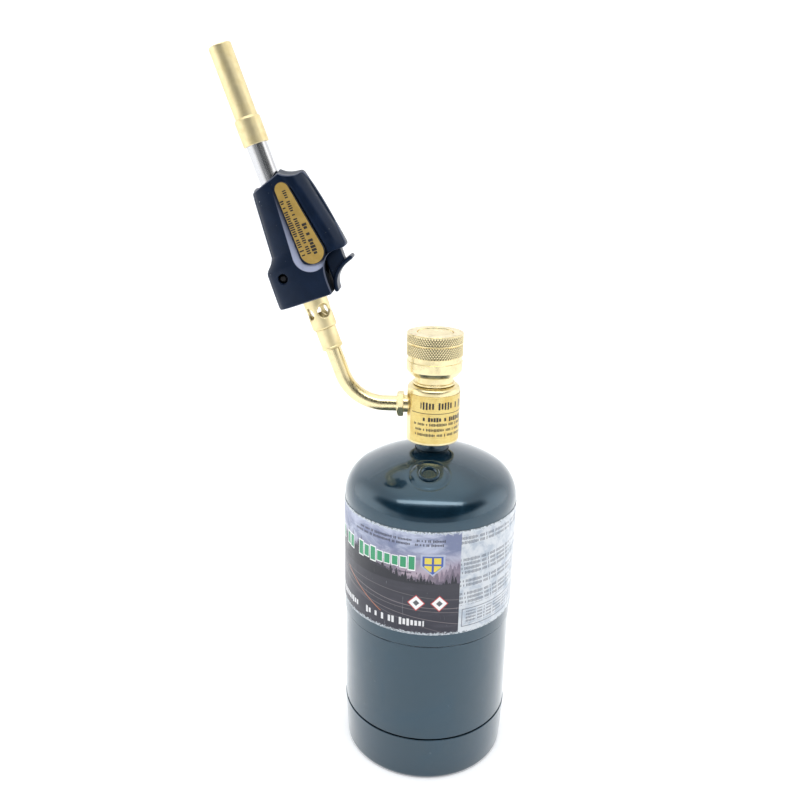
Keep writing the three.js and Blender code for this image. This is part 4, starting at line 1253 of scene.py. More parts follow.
class TORCH_OT_gooseneck(bpy.types.Operator):
    """Builds the bent outlet pipe, its nipple and its lock nut"""

    bl_idname = "torch.gooseneck"
    bl_label = "Gooseneck"

    def execute(self, context):
        self.pipe()
        self.nipple()
        self.nut()
        return {"FINISHED"}

    def pipe(self):
        """The path runs straight out of the body, round one bend and straight into the burner."""
        radius = extent("gooseneck_tube")[1][1]
        bend = 25.0
        level = OUTLET[2, 3]
        start = np.array((-12.4, 0, level))
        foot = BURNER[:3, 3]
        corner = foot - FLAME * (foot[2] - level) / FLAME[2]
        end = foot + FLAME * 9.0
        inward = unit(start - corner)
        outward = unit(end - corner)
        turn = math.pi - math.acos(inward @ outward)
        tangent = bend * math.tan(turn / 2)
        centre = corner + unit(inward + outward) * bend / math.cos(turn / 2)
        first = corner + inward * tangent
        angle = np.linspace(0, turn, 64)[:, None]
        arm = first - centre
        ahead = -inward * bend
        curve = centre + arm * np.cos(angle) + ahead * np.sin(angle)
        straight = start + (first - start) * np.linspace(0, 1, 12)[:-1, None]
        last = curve[-1] + (end - curve[-1]) * np.linspace(0, 1, 16)[1:, None]
        path = np.concatenate((straight, curve, last))
        swept(path, SIDEWAYS, radius, 48, bore=3.4).piece("gooseneck_tube", "pipe_brass")

    def nipple(self):
        """The threaded stub that the pipe is brazed into."""
        low, high = extent("outlet_nipple", OUTLET)
        corners = [
            (1.8, low[2]), (4.6, low[2]), (5.0, low[2] + 0.4, 0.1), (5.0, high[2], 0.3),
            (4.75, high[2], 0.1), (4.75, 12.1), (1.8, 12.1),
        ]
        outline = refined(rounded(corners), 0.16, low[2] + 0.5, high[2] - 0.1)

        def thread(angle, height, radius):
            """A helical groove of 1 mm pitch along the nipple's outside."""
            return np.where(radius > 4.9, 0.45 * helix(angle, height, 1.0) - 0.12, 0)

        turned(outline, 72, relief=thread).piece("outlet_nipple", "outlet_brass", OUTLET, sharp=40)

    def nut(self):
        """A hexagon cut by a cone: the radius is the smaller of the two at each angle and height."""
        low, high = extent("lock_nut", OUTLET)
        flat = high[0]
        near, far = low[2], high[2]
        angle = np.arange(240)[None, :] * FULL_TURN / 240
        folded = (angle + math.pi / 6) % (math.pi / 3) - math.pi / 6
        hexagon = flat / np.cos(folded)
        height = np.concatenate((
            [near], np.linspace(near, near + 0.6, 8), np.linspace(near + 0.7, far - 1.2, 4),
            np.linspace(far - 1.15, far, 14), [far],
        ))[:, None]
        corner = flat / math.cos(math.pi / 6)
        cone = np.minimum(corner + (far - height) * 1.05 - 1.15, corner + (height - near) * 1.6 - 0.6)
        radius = np.minimum(hexagon, cone)
        bore = 5.3
        radius[0] = bore
        radius[-1] = bore
        points = np.stack((radius * np.cos(angle), radius * np.sin(angle), height + 0 * angle), axis=-1)
        skin = Skin().grid(points, wrap_rows=True, wrap_columns=True)
        skin.piece("lock_nut", "outlet_brass", OUTLET, sharp=20)


# ---------------------------------------------------------------- burner

# The height along the burner at which the electrode turns out through the flame tube.
ARM_LEVEL = 63.0


class TORCH_OT_burner(bpy.types.Operator):
    """Builds the ferrule, the jet, the mixer with its air holes, the flame tube and the tip"""

    bl_idname = "torch.burner"
    bl_label = "Burner"

    def execute(self, context):
        top = extent("ferrule", BURNER)[1][2]
        inner = extent("gooseneck_tube")[1][1] + 0.25
        ferrule = [
            (inner, 0.2, 0.1), (5.35, 0, 0.15), (5.9, 0.6, 0.35), (5.9, 1.3, 0.3), (5.6, 1.75, 0.15),
            (5.65, top, 0.1), (2.9, top, 0.1), (2.9, 9.4), (inner, 9.4),
        ]
        lathe_piece("ferrule", ferrule, "burner_brass", BURNER, 120, steps=5)
        jet = [
            (0.4, 10.2), (2.6, 10.2, 0.1), (2.6, 16.8), (3.3, 16.8, 0.15), (3.3, 18.4, 0.2),
            (1.1, 20.9, 0.15), (0.4, 20.9),
        ]
        lathe_piece("gas_jet", jet, "burner_brass", BURNER, 48)
        self.mixer()
        self.flame_tube()
        self.tip()
        return {"FINISHED"}

    def mixer(self):
        """A sleeve with four round air holes.

        Each quarter round a hole is a patch from the rim of the hole to a square: a point goes from
        the rim at some angle to where that angle meets the square, and both are then wrapped round
        the sleeve. The hole's wall and its countersink join the outer patch to the inner one.
        """
        low, high = extent("mixer_sleeve", BURNER)
        radius, bottom, top = high[1], low[2], high[2]
        bore = 5.1
        hole, sunk = 3.3, 4.3
        level = 21.7
        half = 4.9
        first_turn = math.radians(35.0)
        per_side = 16
        edge = np.linspace(-1, 1, per_side + 1)[:-1]
        side = np.ones_like(edge)
        square = np.concatenate((
            np.stack((edge, -side), axis=-1), np.stack((side, edge), axis=-1),
            np.stack((-edge, side), axis=-1), np.stack((-side, -edge), axis=-1),
        ))
        spoke = np.arctan2(square[:, 1], square[:, 0])
        quarter = math.pi / 4
        skin = Skin()
        columns = 4 * per_side

        def rim(size, around):
            """A circle of that size, drilled square through a cylinder of radius around."""
            return np.stack((np.arcsin(size * np.cos(spoke) / around), size * np.sin(spoke)), axis=-1)

        def wrapped(flat, around, turn):
            """Flat (angle, height) points put on a cylinder of radius around, turned by turn."""
            angle = flat[..., 0] + turn
            return np.stack((around * np.cos(angle), around * np.sin(angle), flat[..., 1] + level), axis=-1)

        outer_square = square * (quarter, half)
        part = (np.linspace(0, 1, 9) ** 1.4)[:, None, None]
        countersink = ((sunk - 0.1, 0.02), (sunk - 0.5, 0.25), (hole + 0.12, 0.72), (hole, 0.88))
        for k in range(4):
            turn = first_turn + k * math.pi / 2
            outer = outer_square + (rim(sunk, radius) - outer_square) * part
            sink = [wrapped(rim(size, radius - drop), radius - drop, turn) for size, drop in countersink]
            inner = outer_square + (rim(hole, bore) - outer_square) * part[::-1]
            rows = np.concatenate((
                wrapped(outer, radius, turn), np.stack(sink), wrapped(inner, bore, turn),
            ))
            skin.grid(rows, wrap_columns=True)

        angle = first_turn - quarter + np.arange(columns) * FULL_TURN / columns

        def ring_rows(outline):
            """The outline's (radius, height) carried round, with the patches' own columns."""
            height = np.array(outline)[:, 1, None] + 0 * angle[None]
            around = np.array(outline)[:, 0, None]
            return np.stack((around * np.cos(angle), around * np.sin(angle), height), axis=-1)

        below = rounded([
            (radius, level - half), (radius, bottom, 1.0), (5.95, bottom, 0.15), (5.95, 16.4), (bore, 16.4),
            (bore, level - half),
        ], closed=False, steps=6)
        above = rounded([
            (radius, level + half), (radius, top, 0.12), (5.75, top, 0.1), (5.75, 30.0), (bore, 30.0),
            (bore, level + half),
        ], closed=False)
        skin.grid(ring_rows(below), wrap_columns=True)
        skin.grid(ring_rows(above), wrap_columns=True)
        skin.piece("mixer_sleeve", "burner_brass", BURNER)

    def flame_tube(self):
        """A plain tube."""
        low, high = extent("flame_tube", BURNER)
        bore, radius = 4.85, high[1]
        outline = rounded([
            (bore, low[2], 0.1), (radius, low[2], 0.15), (radius, high[2], 0.15), (bore, high[2], 0.1),
        ])
        turned(outline, 96).piece("flame_tube", "polished_steel", BURNER)

    def tip(self):
        """A wider band at the foot, then a plain tube with a rounded mouth."""
        low, high = extent("burner_tip", BURNER)
        start, end, band = low[2], high[2], high[1]
        corners = [
            (5.62, start, 0.1), (band, start, 0.25), (band, 125.5, 0.25), (5.85, 126.6, 0.15),
            (5.85, end, 0.55), (4.9, end - 0.3, 0.12), (4.9, 119.9), (5.62, 119.9),
        ]
        turned(rounded(corners, steps=6), 120).piece("burner_tip", "burner_brass", BURNER)


class TORCH_OT_spark(bpy.types.Operator):
    """Builds the electrode, its insulator and bush, and the swirl disc"""

    bl_idname = "torch.spark"
    bl_label = "Spark gap"

    def execute(self, context):
        offset = 3.2
        shifted = BURNER.copy()
        shifted[:3, 3] += BURNER[:3, 0] * offset
        foot = ARM_LEVEL + 2.6
        tube = [(0.7, foot, 0.1), (1.3, foot, 0.2), (1.3, 140, 0.2), (0.7, 140, 0.1)]
        lathe_piece("electrode_insulator", tube, "ceramic", shifted, 32)
        path = curve_through([
            (8.2, 0, ARM_LEVEL), (4.6, 0, ARM_LEVEL), (3.4, 0, ARM_LEVEL + 0.6),
            (offset, 0, ARM_LEVEL + 2.4), (offset, 0, 90), (offset, 0, 120), (offset, 0, 142),
            (3.7, 0, 148),
        ], 110)
        swept(path, SIDEWAYS, 0.4, 10).piece("electrode", "plain_steel", BURNER)
        arm = placement(BURNER[:3, 3] + BURNER[:3, 2] * ARM_LEVEL, -BURNER[:3, 2], BURNER[:3, 0])
        bush = [
            (0.7, 5.9), (2.3, 5.9, 0.15), (2.3, 6.6, 0.2), (1.3, 6.8, 0.1), (1.3, 7.6, 0.2), (0.7, 7.6),
        ]
        lathe_piece("electrode_bush", bush, "ceramic", arm, 32)
        finish_cad_node("swirl_disc", "burner_brass")
        return {"FINISHED"}


# ---------------------------------------------------------------- igniter housing

def bend(start, control, end, steps):
    """A quadratic curve, without its first point."""
    t = np.linspace(0, 1, steps + 1)[1:, None]
    return (1 - t) ** 2 * np.array(start) + 2 * t * (1 - t) * np.array(control) + t ** 2 * np.array(end)


def evenly(points, count):
    """The same line with evenly spaced points."""
    length = np.concatenate(([0], np.cumsum(np.linalg.norm(np.diff(points, axis=0), axis=1))))
    wanted = np.linspace(0, length[-1], count)
    return np.stack([np.interp(wanted, length, points[:, k]) for k in range(2)], axis=-1)


# Points along each half of the housing's outline; the heights of its foot, of its shoulder and of the
# top of the undercut for the trigger.
HALF_COLUMNS = 290
HOUSING_FOOT = 29.4
SHOULDER = 50.0
UNDERCUT_TOP = 50.6


def housing_outline():
    """The housing's side outline: its rear half, by the trigger, and its front half, both upwards."""
    start = (0.0, HOUSING_FOOT)
    peak = (7.2, 97.4)
    rear = np.concatenate((
        [start, (11.0, HOUSING_FOOT)],
        bend((11.0, HOUSING_FOOT), (12.2, HOUSING_FOOT), (12.1, 30.8), 6),
        bend((12.1, 30.8), (10.9, SHOULDER), (20.4, 50.2), 40),
        [(24.9, SHOULDER)],
        bend((24.9, SHOULDER), (27.4, SHOULDER), (26.9, 52.6), 12),
        bend((26.9, 52.6), (23.6, 78.0), (18.6, 92.4), 60),
        bend((18.6, 92.4), (18.2, 93.6), (16.8, 93.7), 8),
        bend((16.8, 93.7), (10.5, 94.2), peak, 24),
    ))
    front = np.concatenate((
        [start, (-17.2, HOUSING_FOOT)],
        bend((-17.2, HOUSING_FOOT), (-18.8, HOUSING_FOOT), (-18.7, 31.2), 8),
        [(-17.9, 47.6)],
        bend((-17.9, 47.6), (-17.9, 50.2), (-15.6, 52.1), 10),
        bend((-15.6, 52.1), (-12.8, 54.4), (-12.5, 57.4), 10),
        [(-9.7, 90.9)],
        bend((-9.7, 90.9), (-9.6, 91.9), (-8.6, 92.3), 6),
        [peak],
    ))
    return evenly(rear, HALF_COLUMNS + 1), evenly(front, HALF_COLUMNS + 1)


def teardrop_distance(x, y, upper, lower):
    """Signed distance to a teardrop round two circles (x, y, radius), negative inside.

    Along the line between the circles the radius changes evenly with a lean that keeps it tangent
    to both, so the nearest circle of that family gives the distance.
    """
    (x0, y0, r0), (x1, y1, r1) = upper, lower
    span = math.hypot(x1 - x0, y1 - y0)
    ux, uy = (x1 - x0) / span, (y1 - y0) / span
    along = (x - x0) * ux + (y - y0) * uy
    aside = np.abs(-(x - x0) * uy + (y - y0) * ux)
    slope = (r1 - r0) / span
    shift = slope / math.sqrt(1 - slope ** 2)
    part = np.clip((along + aside * shift) / span, 0, 1)
    return np.hypot(along - part * span, aside) - (r0 + (r1 - r0) * part)


# Upper and lower circles (x, height, radius) of the pocket and of the plate in it; how deep the plate
# is let in; and how far the upper rim falls from the seam to the side.
POCKET = ((6.2, 87.5, 4.7), (8.2, 52.6, 9.1))
PLATE = ((6.4, 87.4, 3.9), (9.9, 53.5, 6.6))
PLATE_DEPTH = 1.4
RIM_DROP = 1.8


def spine_at(y):
    """How far back the spine lies at a height."""
    return 27.6 - 0.22 * (y - SHOULDER)


def housing_half_width(x, y, width, inset):
    """Half thickness of the plain housing at a side-view point.

    Across the housing it is a superellipse between the front and the spine, so the side is almost
    flat and turns in towards both edges.
    """
    waist = 57
    upper = -12.9 + 0.085 * np.maximum(y - waist, 0) - 0.84 * np.maximum(waist - y, 0)
    front = np.where(y < SHOULDER, -18.8, upper)
    spine = spine_at(y)
    middle = (front + spine) / 2
    reach = (spine - front) / 2 - inset
    part = np.clip(np.abs((x - middle) / reach), 0, 1)
    power = np.where((x > middle) & (y > SHOULDER), 2.05, 3.2)
    return (width - inset) * np.maximum(1 - part ** power, 0) ** (1 / power)


def housing_detail(x, y, depth, screw):
    """Adds the pocket, the crease, the spine's raised band and the screw hole to the half thickness.

    The second result marks the pocket's sloped wall with 1, for a painted reflection, and the screw hole with -1,
    for painted shade.
    """
    wall = teardrop_distance(x, y, *POCKET)
    centre_x = 6.2 + (87.5 - y) * 0.057
    lower_left = np.clip((centre_x + 2 - x) / 9, 0, 1) * np.clip((92 - y) / 40, 0, 1)
    lower = np.clip((58 - y) / 12, 0, 1) * np.clip((16.0 - x) / 6, 0, 1)
    lean = np.maximum(lower_left, lower)
    slope = 0.5 + 3.9 * lean
    pocket = PLATE_DEPTH * (1 - smooth_step(wall, -slope, 0.0))
    # A painted reflection on the pocket's lower-left slope, which is made paler than the face.
    sheen_and_shade = lean * smooth_step(wall, -0.95 * slope, -0.80 * slope) * (1 - smooth_step(wall, -0.15, 0.15))
    crease_x = 3.0 - (y - 86.0) * 0.22
    crease = 0.55 * smooth_step(x - crease_x, -0.2, 0.2)
    crease = crease * smooth_step(y, 84, 88) * (1 - smooth_step(x, crease_x, 9.0))
    from_spine = spine_at(y) - x
    valley = 0.6 * np.exp(-((from_spine - 7.6) / 1.5) ** 2)
    rib = 0.35 * np.exp(-((from_spine - 4.4) / 1.3) ** 2)
    depth = depth - pocket - crease + (rib - valley) * smooth_step(y, SHOULDER, 56)
    if screw is not None:
        hole = np.hypot(x - screw[0], y - screw[1])
        depth = depth - 4.6 * (1 - smooth_step(hole, 2.35, 2.65))
        depth = depth - 0.25 * (1 - smooth_step(hole, 2.65, 3.0))
        # Painted shade in the screw hole.
        sheen_and_shade = sheen_and_shade - (1 - smooth_step(hole, 2.2, 2.5))
    return depth, sheen_and_shade


def opening(x, y):
    """How far from the seam the shell starts: past the tube's mouth, the mixer's hole and the slots."""
    mouth = np.where(y > 84, np.sqrt(np.maximum(7.6 ** 2 - (x + 0.4) ** 2, 0)), 0)
    foot = np.where(y < 30.5, np.sqrt(np.maximum(7.0 ** 2 - x ** 2, 0)), 0)
    finger = 6.9 * smooth_step(x, 12.0, 12.6) * (y < UNDERCUT_TOP) * (y > 30.0) * (x < 19.6)
    stem = 4.9 * (x >= 19.0) * smooth_step(-x, -24.4, -23.6) * (y < UNDERCUT_TOP)
    return np.maximum.reduce((mouth, foot, finger, stem))


class TORCH_OT_housing(bpy.types.Operator):
    """Builds the two halves of the igniter's housing"""

    bl_idname = "torch.housing"
    bl_label = "Housing"

    def execute(self, context):
        width = extent("housing_right", BURNER)[1][1]
        self.half("housing_left", -1, width, (-9.8, 45.0))
        self.half("housing_right", 1, width, None)
        return {"FINISHED"}

    def half(self, node, side, width, screw):
        """One half as a closed skin: rows from the inner face out through the seam to the outer face.

        Columns go round the side outline. Each row is the outline drawn in towards a line down the
        middle of the housing, where the front and rear columns meet, at a depth given by the half
        thickness; the wall rows between the faces run from the seam out to the edge's small radius.
        """
        rear, front = housing_outline()
        outline = np.concatenate((rear, front[-2:0:-1]))
        part = np.linspace(0, 1, HALF_COLUMNS + 1)
        climb = smooth_step(part, 0.08, 0.93)[:, None]
        low_end, high_end = np.array((-1.5, 38.0)), np.array((4.6, 87.0))
        middle_line = low_end + climb * (high_end - low_end)
        middle = np.concatenate((middle_line, middle_line[-2:0:-1]))
        inwards = middle - outline
        inwards_length = np.linalg.norm(inwards, axis=1)

        def face(share, inset, thickness):
            """Rows of side-view points and their depths, from the edge (share 0) to the middle line."""
            edge = outline + inwards * np.minimum(inset / inwards_length, 0.9)[:, None]
            flat = edge[None] + (middle - edge)[None] * share[:, None, None]
            x, y = flat[..., 0], flat[..., 1]
            return x, y, thickness(x, y)

        start = opening(outline[:, 0], outline[:, 1])
        bevel = 0.75
        share = np.linspace(0, 1, 84) ** 1.5

        def outer_depth(x, y):
            """The plain outer face."""
            return housing_half_width(x, y, width, 0.0)

        x, y, depth = face(share, bevel, outer_depth)
        depth, sheen_and_shade = housing_detail(x, y, depth, screw)
        depth = np.maximum(depth, np.minimum(start + 0.4, 12.0)[None] * (share[:, None] < 0.02))
        outer = np.stack((x, depth, y), axis=-1)

        # The edge turns through a quarter circle of the bevel's radius; the wall below it is straight.
        first = depth[0]
        turn = np.linspace(0, math.pi / 2, 6)[:-1]
        edge_rows = []
        for angle in turn:
            inward = bevel * (1 - math.cos(angle))
            point = outline + inwards * (inward / inwards_length)[:, None]
            rise = np.maximum(first - bevel * (1 - math.sin(angle)), start)
            edge_rows.append(np.stack((point[:, 0], rise, point[:, 1]), axis=-1))
        wall_top = edge_rows[0][:, 1]
        seam = 0.08
        wall_rows = []
        for step in np.linspace(0, 1, 7)[:-1]:
            level = start + seam + (wall_top - start - seam) * step
            wall_rows.append(np.stack((outline[:, 0], np.maximum(level, seam), outline[:, 1]), axis=-1))

        wall = 2.0

        def inner_depth(x, y):
            """The inner face, one wall thickness in."""
            return np.maximum(housing_half_width(x, y, width, wall), 0.3)

        ix, iy, inner = face(np.linspace(1, 0, 18) ** 1.3, wall, inner_depth)
        inner = np.maximum(inner, np.minimum(start + 0.3, 10.0)[None])
        inner_rows = np.stack((ix, inner, iy), axis=-1)
        lip = np.stack((ix[-1], start + seam, iy[-1]), axis=-1)[None]
        rows = np.concatenate((inner_rows, lip, np.stack(wall_rows), np.stack(edge_rows), outer))
        away = smooth_step(rows[..., 1], 0.5, 9.0) * smooth_step(rows[..., 2], 85.0, 91.0)
        rows[..., 2] -= RIM_DROP * away
        rows[..., 1] *= side

        # Marks: -1 paints dark shade on the inside and the undercut, and the edge's bevel gets a painted highlight
        # a little paler than the face.
        mark = np.zeros(rows.shape[:2])
        wall_start = len(inner_rows)
        edge_start = wall_start + 1 + len(wall_rows)
        undercut = smooth_step(outline[:, 0], 9.0, 10.0) * (outline[:, 1] < UNDERCUT_TOP)
        mark[:wall_start] = -1.0
        mark[wall_start:edge_start] = -undercut
        mark[edge_start:-len(outer)] = 0.22
        # The outer face carries the pocket's painted reflection and the screw hole's painted shade.
        mark[-len(outer):] = sheen_and_shade
        skin = Skin().grid(rows, wrap_columns=True, mark=mark)
        skin.piece(node, "navy_plastic", BURNER, sharp=38, keep_marks=True)


class TORCH_OT_plates(bpy.types.Operator):
    """Builds the two printed plates and the housing's screws"""

    bl_idname = "torch.plates"
    bl_label = "Plates and screws"

    def execute(self, context):
        for node, side in (("plate_left", -1), ("plate_right", 1)):
            self.plate(node, side)
        for number in (1, 2, 3):
            node = f"housing_screw_{number}"
            low, high = extent(node, BURNER)
            centre = (low + high) / 2
            place = placement(
                BURNER[:3, 3] + BURNER[:3, :3] @ np.array((centre[0], 0, centre[2])), BURNER[:3, 0],
                -BURNER[:3, 1],
            )
            screw = [
                (0, -6.5), (1.1, -5.8, 0.1), (1.1, 8.2), (2.2, 8.2, 0.1), (2.2, 9.3, 0.3),
                (1.3, 10.2, 0.6), (0, 10.2),
            ]
            lathe_piece(node, screw, "black_oxide", place, 40)
        return {"FINISHED"}

    def plate(self, node, side):
        """A teardrop plate: its outline drawn in towards its middle line, with rounded edges."""
        low, high = extent(node, BURNER)
        depths = np.abs((low[1], high[1]))
        back, face = depths.min(), depths.max() + 0.25
        (x0, y0, r0), (x1, y1, r1) = PLATE
        axis = math.atan2(y1 - y0, x1 - x0)
        length = math.hypot(x1 - x0, y1 - y0)
        spread = math.acos((r0 - r1) / length)
        small = np.linspace(axis + spread, axis - spread + FULL_TURN, 49)
        large = np.linspace(axis - spread, axis + spread, 97)
        top = np.stack((x0 + r0 * np.cos(small), y0 + r0 * np.sin(small)), axis=-1)
        base = np.stack((x1 + r1 * np.cos(large), y1 + r1 * np.sin(large)), axis=-1)
        sides = np.linspace(0, 1, 60)[1:-1, None]
        outline = np.concatenate((
            top, top[-1] + (base[0] - top[-1]) * sides, base, base[-1] + (top[0] - base[-1]) * sides,
        ))
        along = (outline - (x0, y0)) @ np.array((math.cos(axis), math.sin(axis))) / length
        centre = np.array((x0, y0)) + np.clip(along, 0, 1)[:, None] * np.array((x1 - x0, y1 - y0))
        reach = np.linalg.norm(centre - outline, axis=1)
        edge = 0.3
        rows, insets = [], []

        def row(inward, depth):
            """Adds the outline drawn in by some distance, marked with that distance."""
            point = outline + (centre - outline) * (np.minimum(inward, reach) / reach)[:, None]
            rows.append(np.stack((point[:, 0], 0 * reach + depth * side, point[:, 1]), axis=-1))
            insets.append(np.minimum(inward, reach))

        to_centre = 99.0
        for inward in (to_centre, 1.0, 0.0):
            row(inward, back)
        for angle in np.linspace(0, math.pi / 2, 6):
            row(edge * (1 - math.cos(angle)), face - edge + edge * math.sin(angle))
        for inward in (0.36, 0.44, 1.0, 2.0, 3.5, to_centre):
            row(inward, face)
        skin = Skin().grid(np.stack(rows), wrap_columns=True, mark=np.stack(insets))
        skin.piece(node, "plate_print", BURNER, keep_marks=True)


def rectangle(left, right, half, fillet):
    """Corners of a rectangle between two abscissae and half a width either side of the axis."""
    return [(left, -half, fillet), (right, -half, fillet), (right, half, fillet), (left, half, fillet)]


class TORCH_OT_trigger(bpy.types.Operator):
    """Builds the trigger: a guided stem with a curved blade for the finger"""

    bl_idname = "torch.trigger"
    bl_label = "Trigger"

    def execute(self, context):
        skin = Skin()
        _, wide, top = extent("trigger", BURNER)[1]
        heel = (14.15, 29.9)
        path = np.concatenate(([heel], bend(heel, (14.2, 39.9), (27.0, 43.75), 60)))
        tangent = unit_rows(np.gradient(path, axis=0))
        normal = np.stack((-tangent[:, 1], tangent[:, 0]), axis=-1)
        section = rounded(rectangle(-1.1, 1.1, wide, 1.0), steps=6)
        self.bar(skin, path, normal, section, tangent)
        rows = []
        (front, front_foot), (rear, rear_foot) = (13.8, 34.2), (23.3, 42.8)
        box = rounded(rectangle(front, rear, 4.4, 0.8), steps=5)
        slope = (rear_foot - front_foot) / (rear - front)
        base = front_foot + (box[:, 0] - front) * slope
        middle = np.array((18.5, 0))
        for part, shrink in ((0, 0.0), (0, 1.0), (0.5, 1.0), (0.98, 1.0), (1.0, 0.95), (1.0, 0.0)):
            point = middle + (box - middle) * shrink
            rise = base + (top - base) * part
            if shrink == 0.0:
                rise = np.full(len(box), rise.mean())
            rows.append(np.stack((point[:, 0], point[:, 1], rise), axis=-1))
        skin.grid(np.stack(rows), wrap_columns=True)
        skin.piece("trigger", "navy_plastic", BURNER, sharp=40)
        return {"FINISHED"}

    def bar(self, skin, path, normal, section, tangent):
        """The section carried along a path, its ends drawn in over a short rounded nose."""
        rows = []
        for sign, station in ((-1, 0), (1, -1)):
            nose = []
            for angle in np.linspace(math.pi / 2, 0.0, 7)[:-1]:
                point = path[station] + sign * tangent[station] * math.sin(angle) * 0.9
                thick = section[:, 0] * math.cos(angle)
                narrowed = 1 - 0.14 * math.sin(angle) ** 4 - (angle > 1.5) * 0.86
                wide = section[:, 1] * narrowed
                nose.append(np.concatenate((point + thick[:, None] * normal[station], wide[:, None]), axis=1))
            rows.append(nose if sign < 0 else nose[::-1])
        middle = [
            np.concatenate((path[i] + section[:, :1] * normal[i], section[:, 1:]), axis=1)
            for i in range(len(path))
        ]
        points = np.array(rows[0] + middle + rows[1])
        skin.grid(points[..., [0, 2, 1]], wrap_columns=True)


class TORCH_OT_igniter(bpy.types.Operator):
    """Builds the piezo unit's plunger and spring, its lead and the finish of its case"""

    bl_idname = "torch.igniter"
    bl_label = "Igniter"

    def execute(self, context):
        low, high = extent("piezo_plunger", BURNER)
        centre = (low + high) / 2
        place = BURNER.copy()
        place[:3, 3] += BURNER[:3, 0] * centre[0]
        plunger = [(0, low[2]), (2.6, low[2], 0.5), (2.6, high[2], 0.2), (0, high[2])]
        lathe_piece("piezo_plunger", plunger, "white_plastic", place, 40)
        low, high = extent("piezo_spring", BURNER)
        coiled("piezo_spring", "plain_steel", place, 2.1, 0.35, low[2], high[2], 6)
        top = extent("piezo_case", BURNER)[1][2]
        path = curve_through([
            (14.4, 0, top + 0.3), (14.2, 0, 81.6), (11.8, 0, 82.6), (9.4, 0, 81.4), (8.3, 0, 78),
            (8.2, 0, 71), (8.6, 0, ARM_LEVEL + 3.2), (9.3, 0, ARM_LEVEL),
        ], 90)
        swept(path, SIDEWAYS, 0.8, 14).piece("ignition_lead", "silicone", BURNER)
        finish_cad_node("piezo_case", "black_plastic")
        return {"FINISHED"}


# ---------------------------------------------------------------- studio

# Patches in front that gloss shows as darker: level, half width, half height and colour.
FRONT_PATCHES = (
    (0.15, 0.62, 0.50, (0.40, 0.41, 0.42)),
    (0.40, 0.95, 0.30, (0.03, 0.035, 0.04)),
)


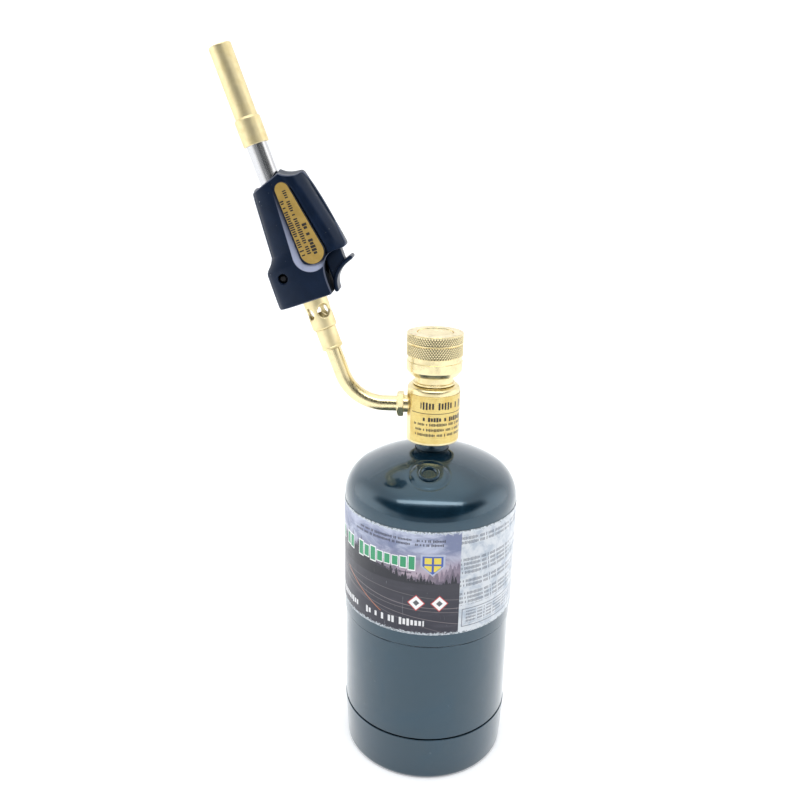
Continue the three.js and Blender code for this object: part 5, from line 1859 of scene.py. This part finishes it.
class TORCH_OT_studio(bpy.types.Operator):
    """Sets the pale floor, the soft light and the camera"""

    bl_idname = "torch.studio"
    bl_label = "Studio"

    def execute(self, context):
        self.backdrop()
        self.surround(context.scene)
        self.light("strip_panel", (0.0, -1.1, 1.70), (0, 0, 0.17), width=2.8, height=0.34, power=16.0)
        self.camera(context.scene)
        return {"FINISHED"}

    def backdrop(self):
        """A floor that curves up into a wall far behind the torch: one line carried sideways."""
        front, back, wall_top, bend_radius = -1.2, 2.4, 4.5, 1.6
        curve = arc(back, bend_radius, bend_radius, -90, 0, 24)
        line = np.concatenate(([(front, 0.0)], curve, [(back + bend_radius, wall_top)]))
        across = np.linspace(-5, 5, 3)
        size = (len(line), len(across))
        points = np.stack((
            np.broadcast_to(across[None], size), np.broadcast_to(line[:, :1], size),
            np.broadcast_to(line[:, 1:], size),
        ), axis=-1)
        mesh = bpy.data.meshes.new("studio_floor")
        index = np.arange(len(line) * len(across)).reshape(size)
        corners = (index[:-1, :-1], index[:-1, 1:], index[1:, 1:], index[1:, :-1])
        faces = np.stack(corners, axis=-1).reshape(-1, 4)
        mesh.from_pydata(points.reshape(-1, 3).tolist(), [], faces.tolist())
        mesh.shade_smooth()
        mesh.materials.append(finish_named("studio_floor"))
        floor = bpy.data.objects.new("studio_floor", mesh)
        bpy.context.scene.collection.objects.link(floor)

    def surround(self, scene):
        """Even light from all round but for soft dark patches in front, so that gloss has depth.

        Only reflections and light show the patches: behind the torch the surround is plainly pale.
        """
        sky = Sky("studio_surround")
        scene.world = sky.world
        spot = sky.tree.nodes.new("ShaderNodeTexCoord")
        ahead = Value(sky, spot.outputs["Generated"])
        x, y, z = (sky.node("ShaderNodeSeparateXYZ", (), {"Vector": ahead}, i) for i in range(3))
        bright = sky.mix(sky.step(z, 0.72, 0.95), (1.0, 1.0, 1.0), (1.40, 1.48, 1.48))
        bright = sky.mix(sky.step(abs(x), 0.74, 0.98), bright, (1.9, 1.9, 1.9))
        for level, across, upward, shade in FRONT_PATCHES:
            above = (z - level) / upward
            patch = sky.step((x * x) / across ** 2 + above * above, 1.3, 0.7) * sky.step(y, 0.0, -0.2)
            bright = sky.mix(patch, bright, shade)
        seen = sky.node("ShaderNodeLightPath", output=0)
        sky.shade(Color=sky.mix(seen, bright, (1.0, 1.0, 1.0)), Strength=scene.torch_studio.daylight)
        scene.view_settings.view_transform = "Standard"

    def light(self, name, place, target, width, height, power):
        """A soft panel that faces a point."""
        lamp = bpy.data.lights.new(name, "AREA")
        lamp.shape = "RECTANGLE"
        lamp.size = width
        lamp.size_y = height
        lamp.energy = power
        panel = bpy.data.objects.new(name, lamp)
        toward = unit(np.array(target) - np.array(place))
        right = unit(np.cross(toward, (0, 0, 1.0)))
        turn = placement(place, right, -toward)
        panel.matrix_world = Matrix(turn.tolist())
        bpy.context.scene.collection.objects.link(panel)

    def camera(self, scene):
        """A lens as long as its sensor is wide, looking a little down on the torch."""
        yaw, pitch, roll = (math.radians(angle) for angle in (-2.498, 17.40, 1.054))
        ahead = np.array((
            math.sin(yaw) * math.cos(pitch), math.cos(yaw) * math.cos(pitch), -math.sin(pitch),
        ))
        level = np.array((math.cos(yaw), -math.sin(yaw), 0))
        upright = np.cross(level, ahead)
        right = math.cos(roll) * level + math.sin(roll) * upright
        lens = bpy.data.cameras.new("view")
        lens.lens = lens.sensor_width = 36
        lens.clip_end = 50
        camera = bpy.data.objects.new("view", lens)
        camera.matrix_world = Matrix(placement((0, -0.42627, 0.34951), right, -ahead).tolist())
        scene.collection.objects.link(camera)
        scene.camera = camera


# ---------------------------------------------------------------- add-on

OPERATORS = (
    TORCH_OT_studio, TORCH_OT_cylinder, TORCH_OT_wrap, TORCH_OT_boss, TORCH_OT_relief, TORCH_OT_column,
    TORCH_OT_foil, TORCH_OT_knob, TORCH_OT_gooseneck, TORCH_OT_burner, TORCH_OT_spark, TORCH_OT_housing,
    TORCH_OT_plates, TORCH_OT_trigger, TORCH_OT_igniter,
)
SETTINGS = {
    "torch_tank": TankSettings,
    "torch_brass": BrassSettings,
    "torch_plastic": PlasticSettings,
    "torch_studio": StudioSettings,
}


class TORCH_PT_panel(bpy.types.Panel):
    """Lists the torch's settings and its pieces"""

    bl_idname = "TORCH_PT_panel"
    bl_label = "Hand torch"
    bl_space_type = "VIEW_3D"
    bl_region_type = "UI"
    bl_category = "Torch"

    def draw(self, context):
        """Lists each group of settings, then a button for each piece."""
        for key, group in SETTINGS.items():
            box = self.layout.box()
            for name in group.__annotations__:
                box.prop(getattr(context.scene, key), name)
        for operator in OPERATORS:
            self.layout.operator(operator.bl_idname)


def register():
    """Adds the settings, the operators and the panel."""
    for group in (*SETTINGS.values(), *OPERATORS, TORCH_PT_panel):
        bpy.utils.register_class(group)
    for key, group in SETTINGS.items():
        setattr(bpy.types.Scene, key, PointerProperty(type=group))


def unregister():
    """Takes them away again."""
    for key in SETTINGS:
        delattr(bpy.types.Scene, key)
    for group in (TORCH_PT_panel, *reversed(OPERATORS), *SETTINGS.values()):
        bpy.utils.unregister_class(group)


def main():
    """Builds every piece."""
    register()
    for operator in OPERATORS:
        group, name = operator.bl_idname.split(".")
        getattr(getattr(bpy.ops, group), name)()


if __name__ == "__main__":
    main()
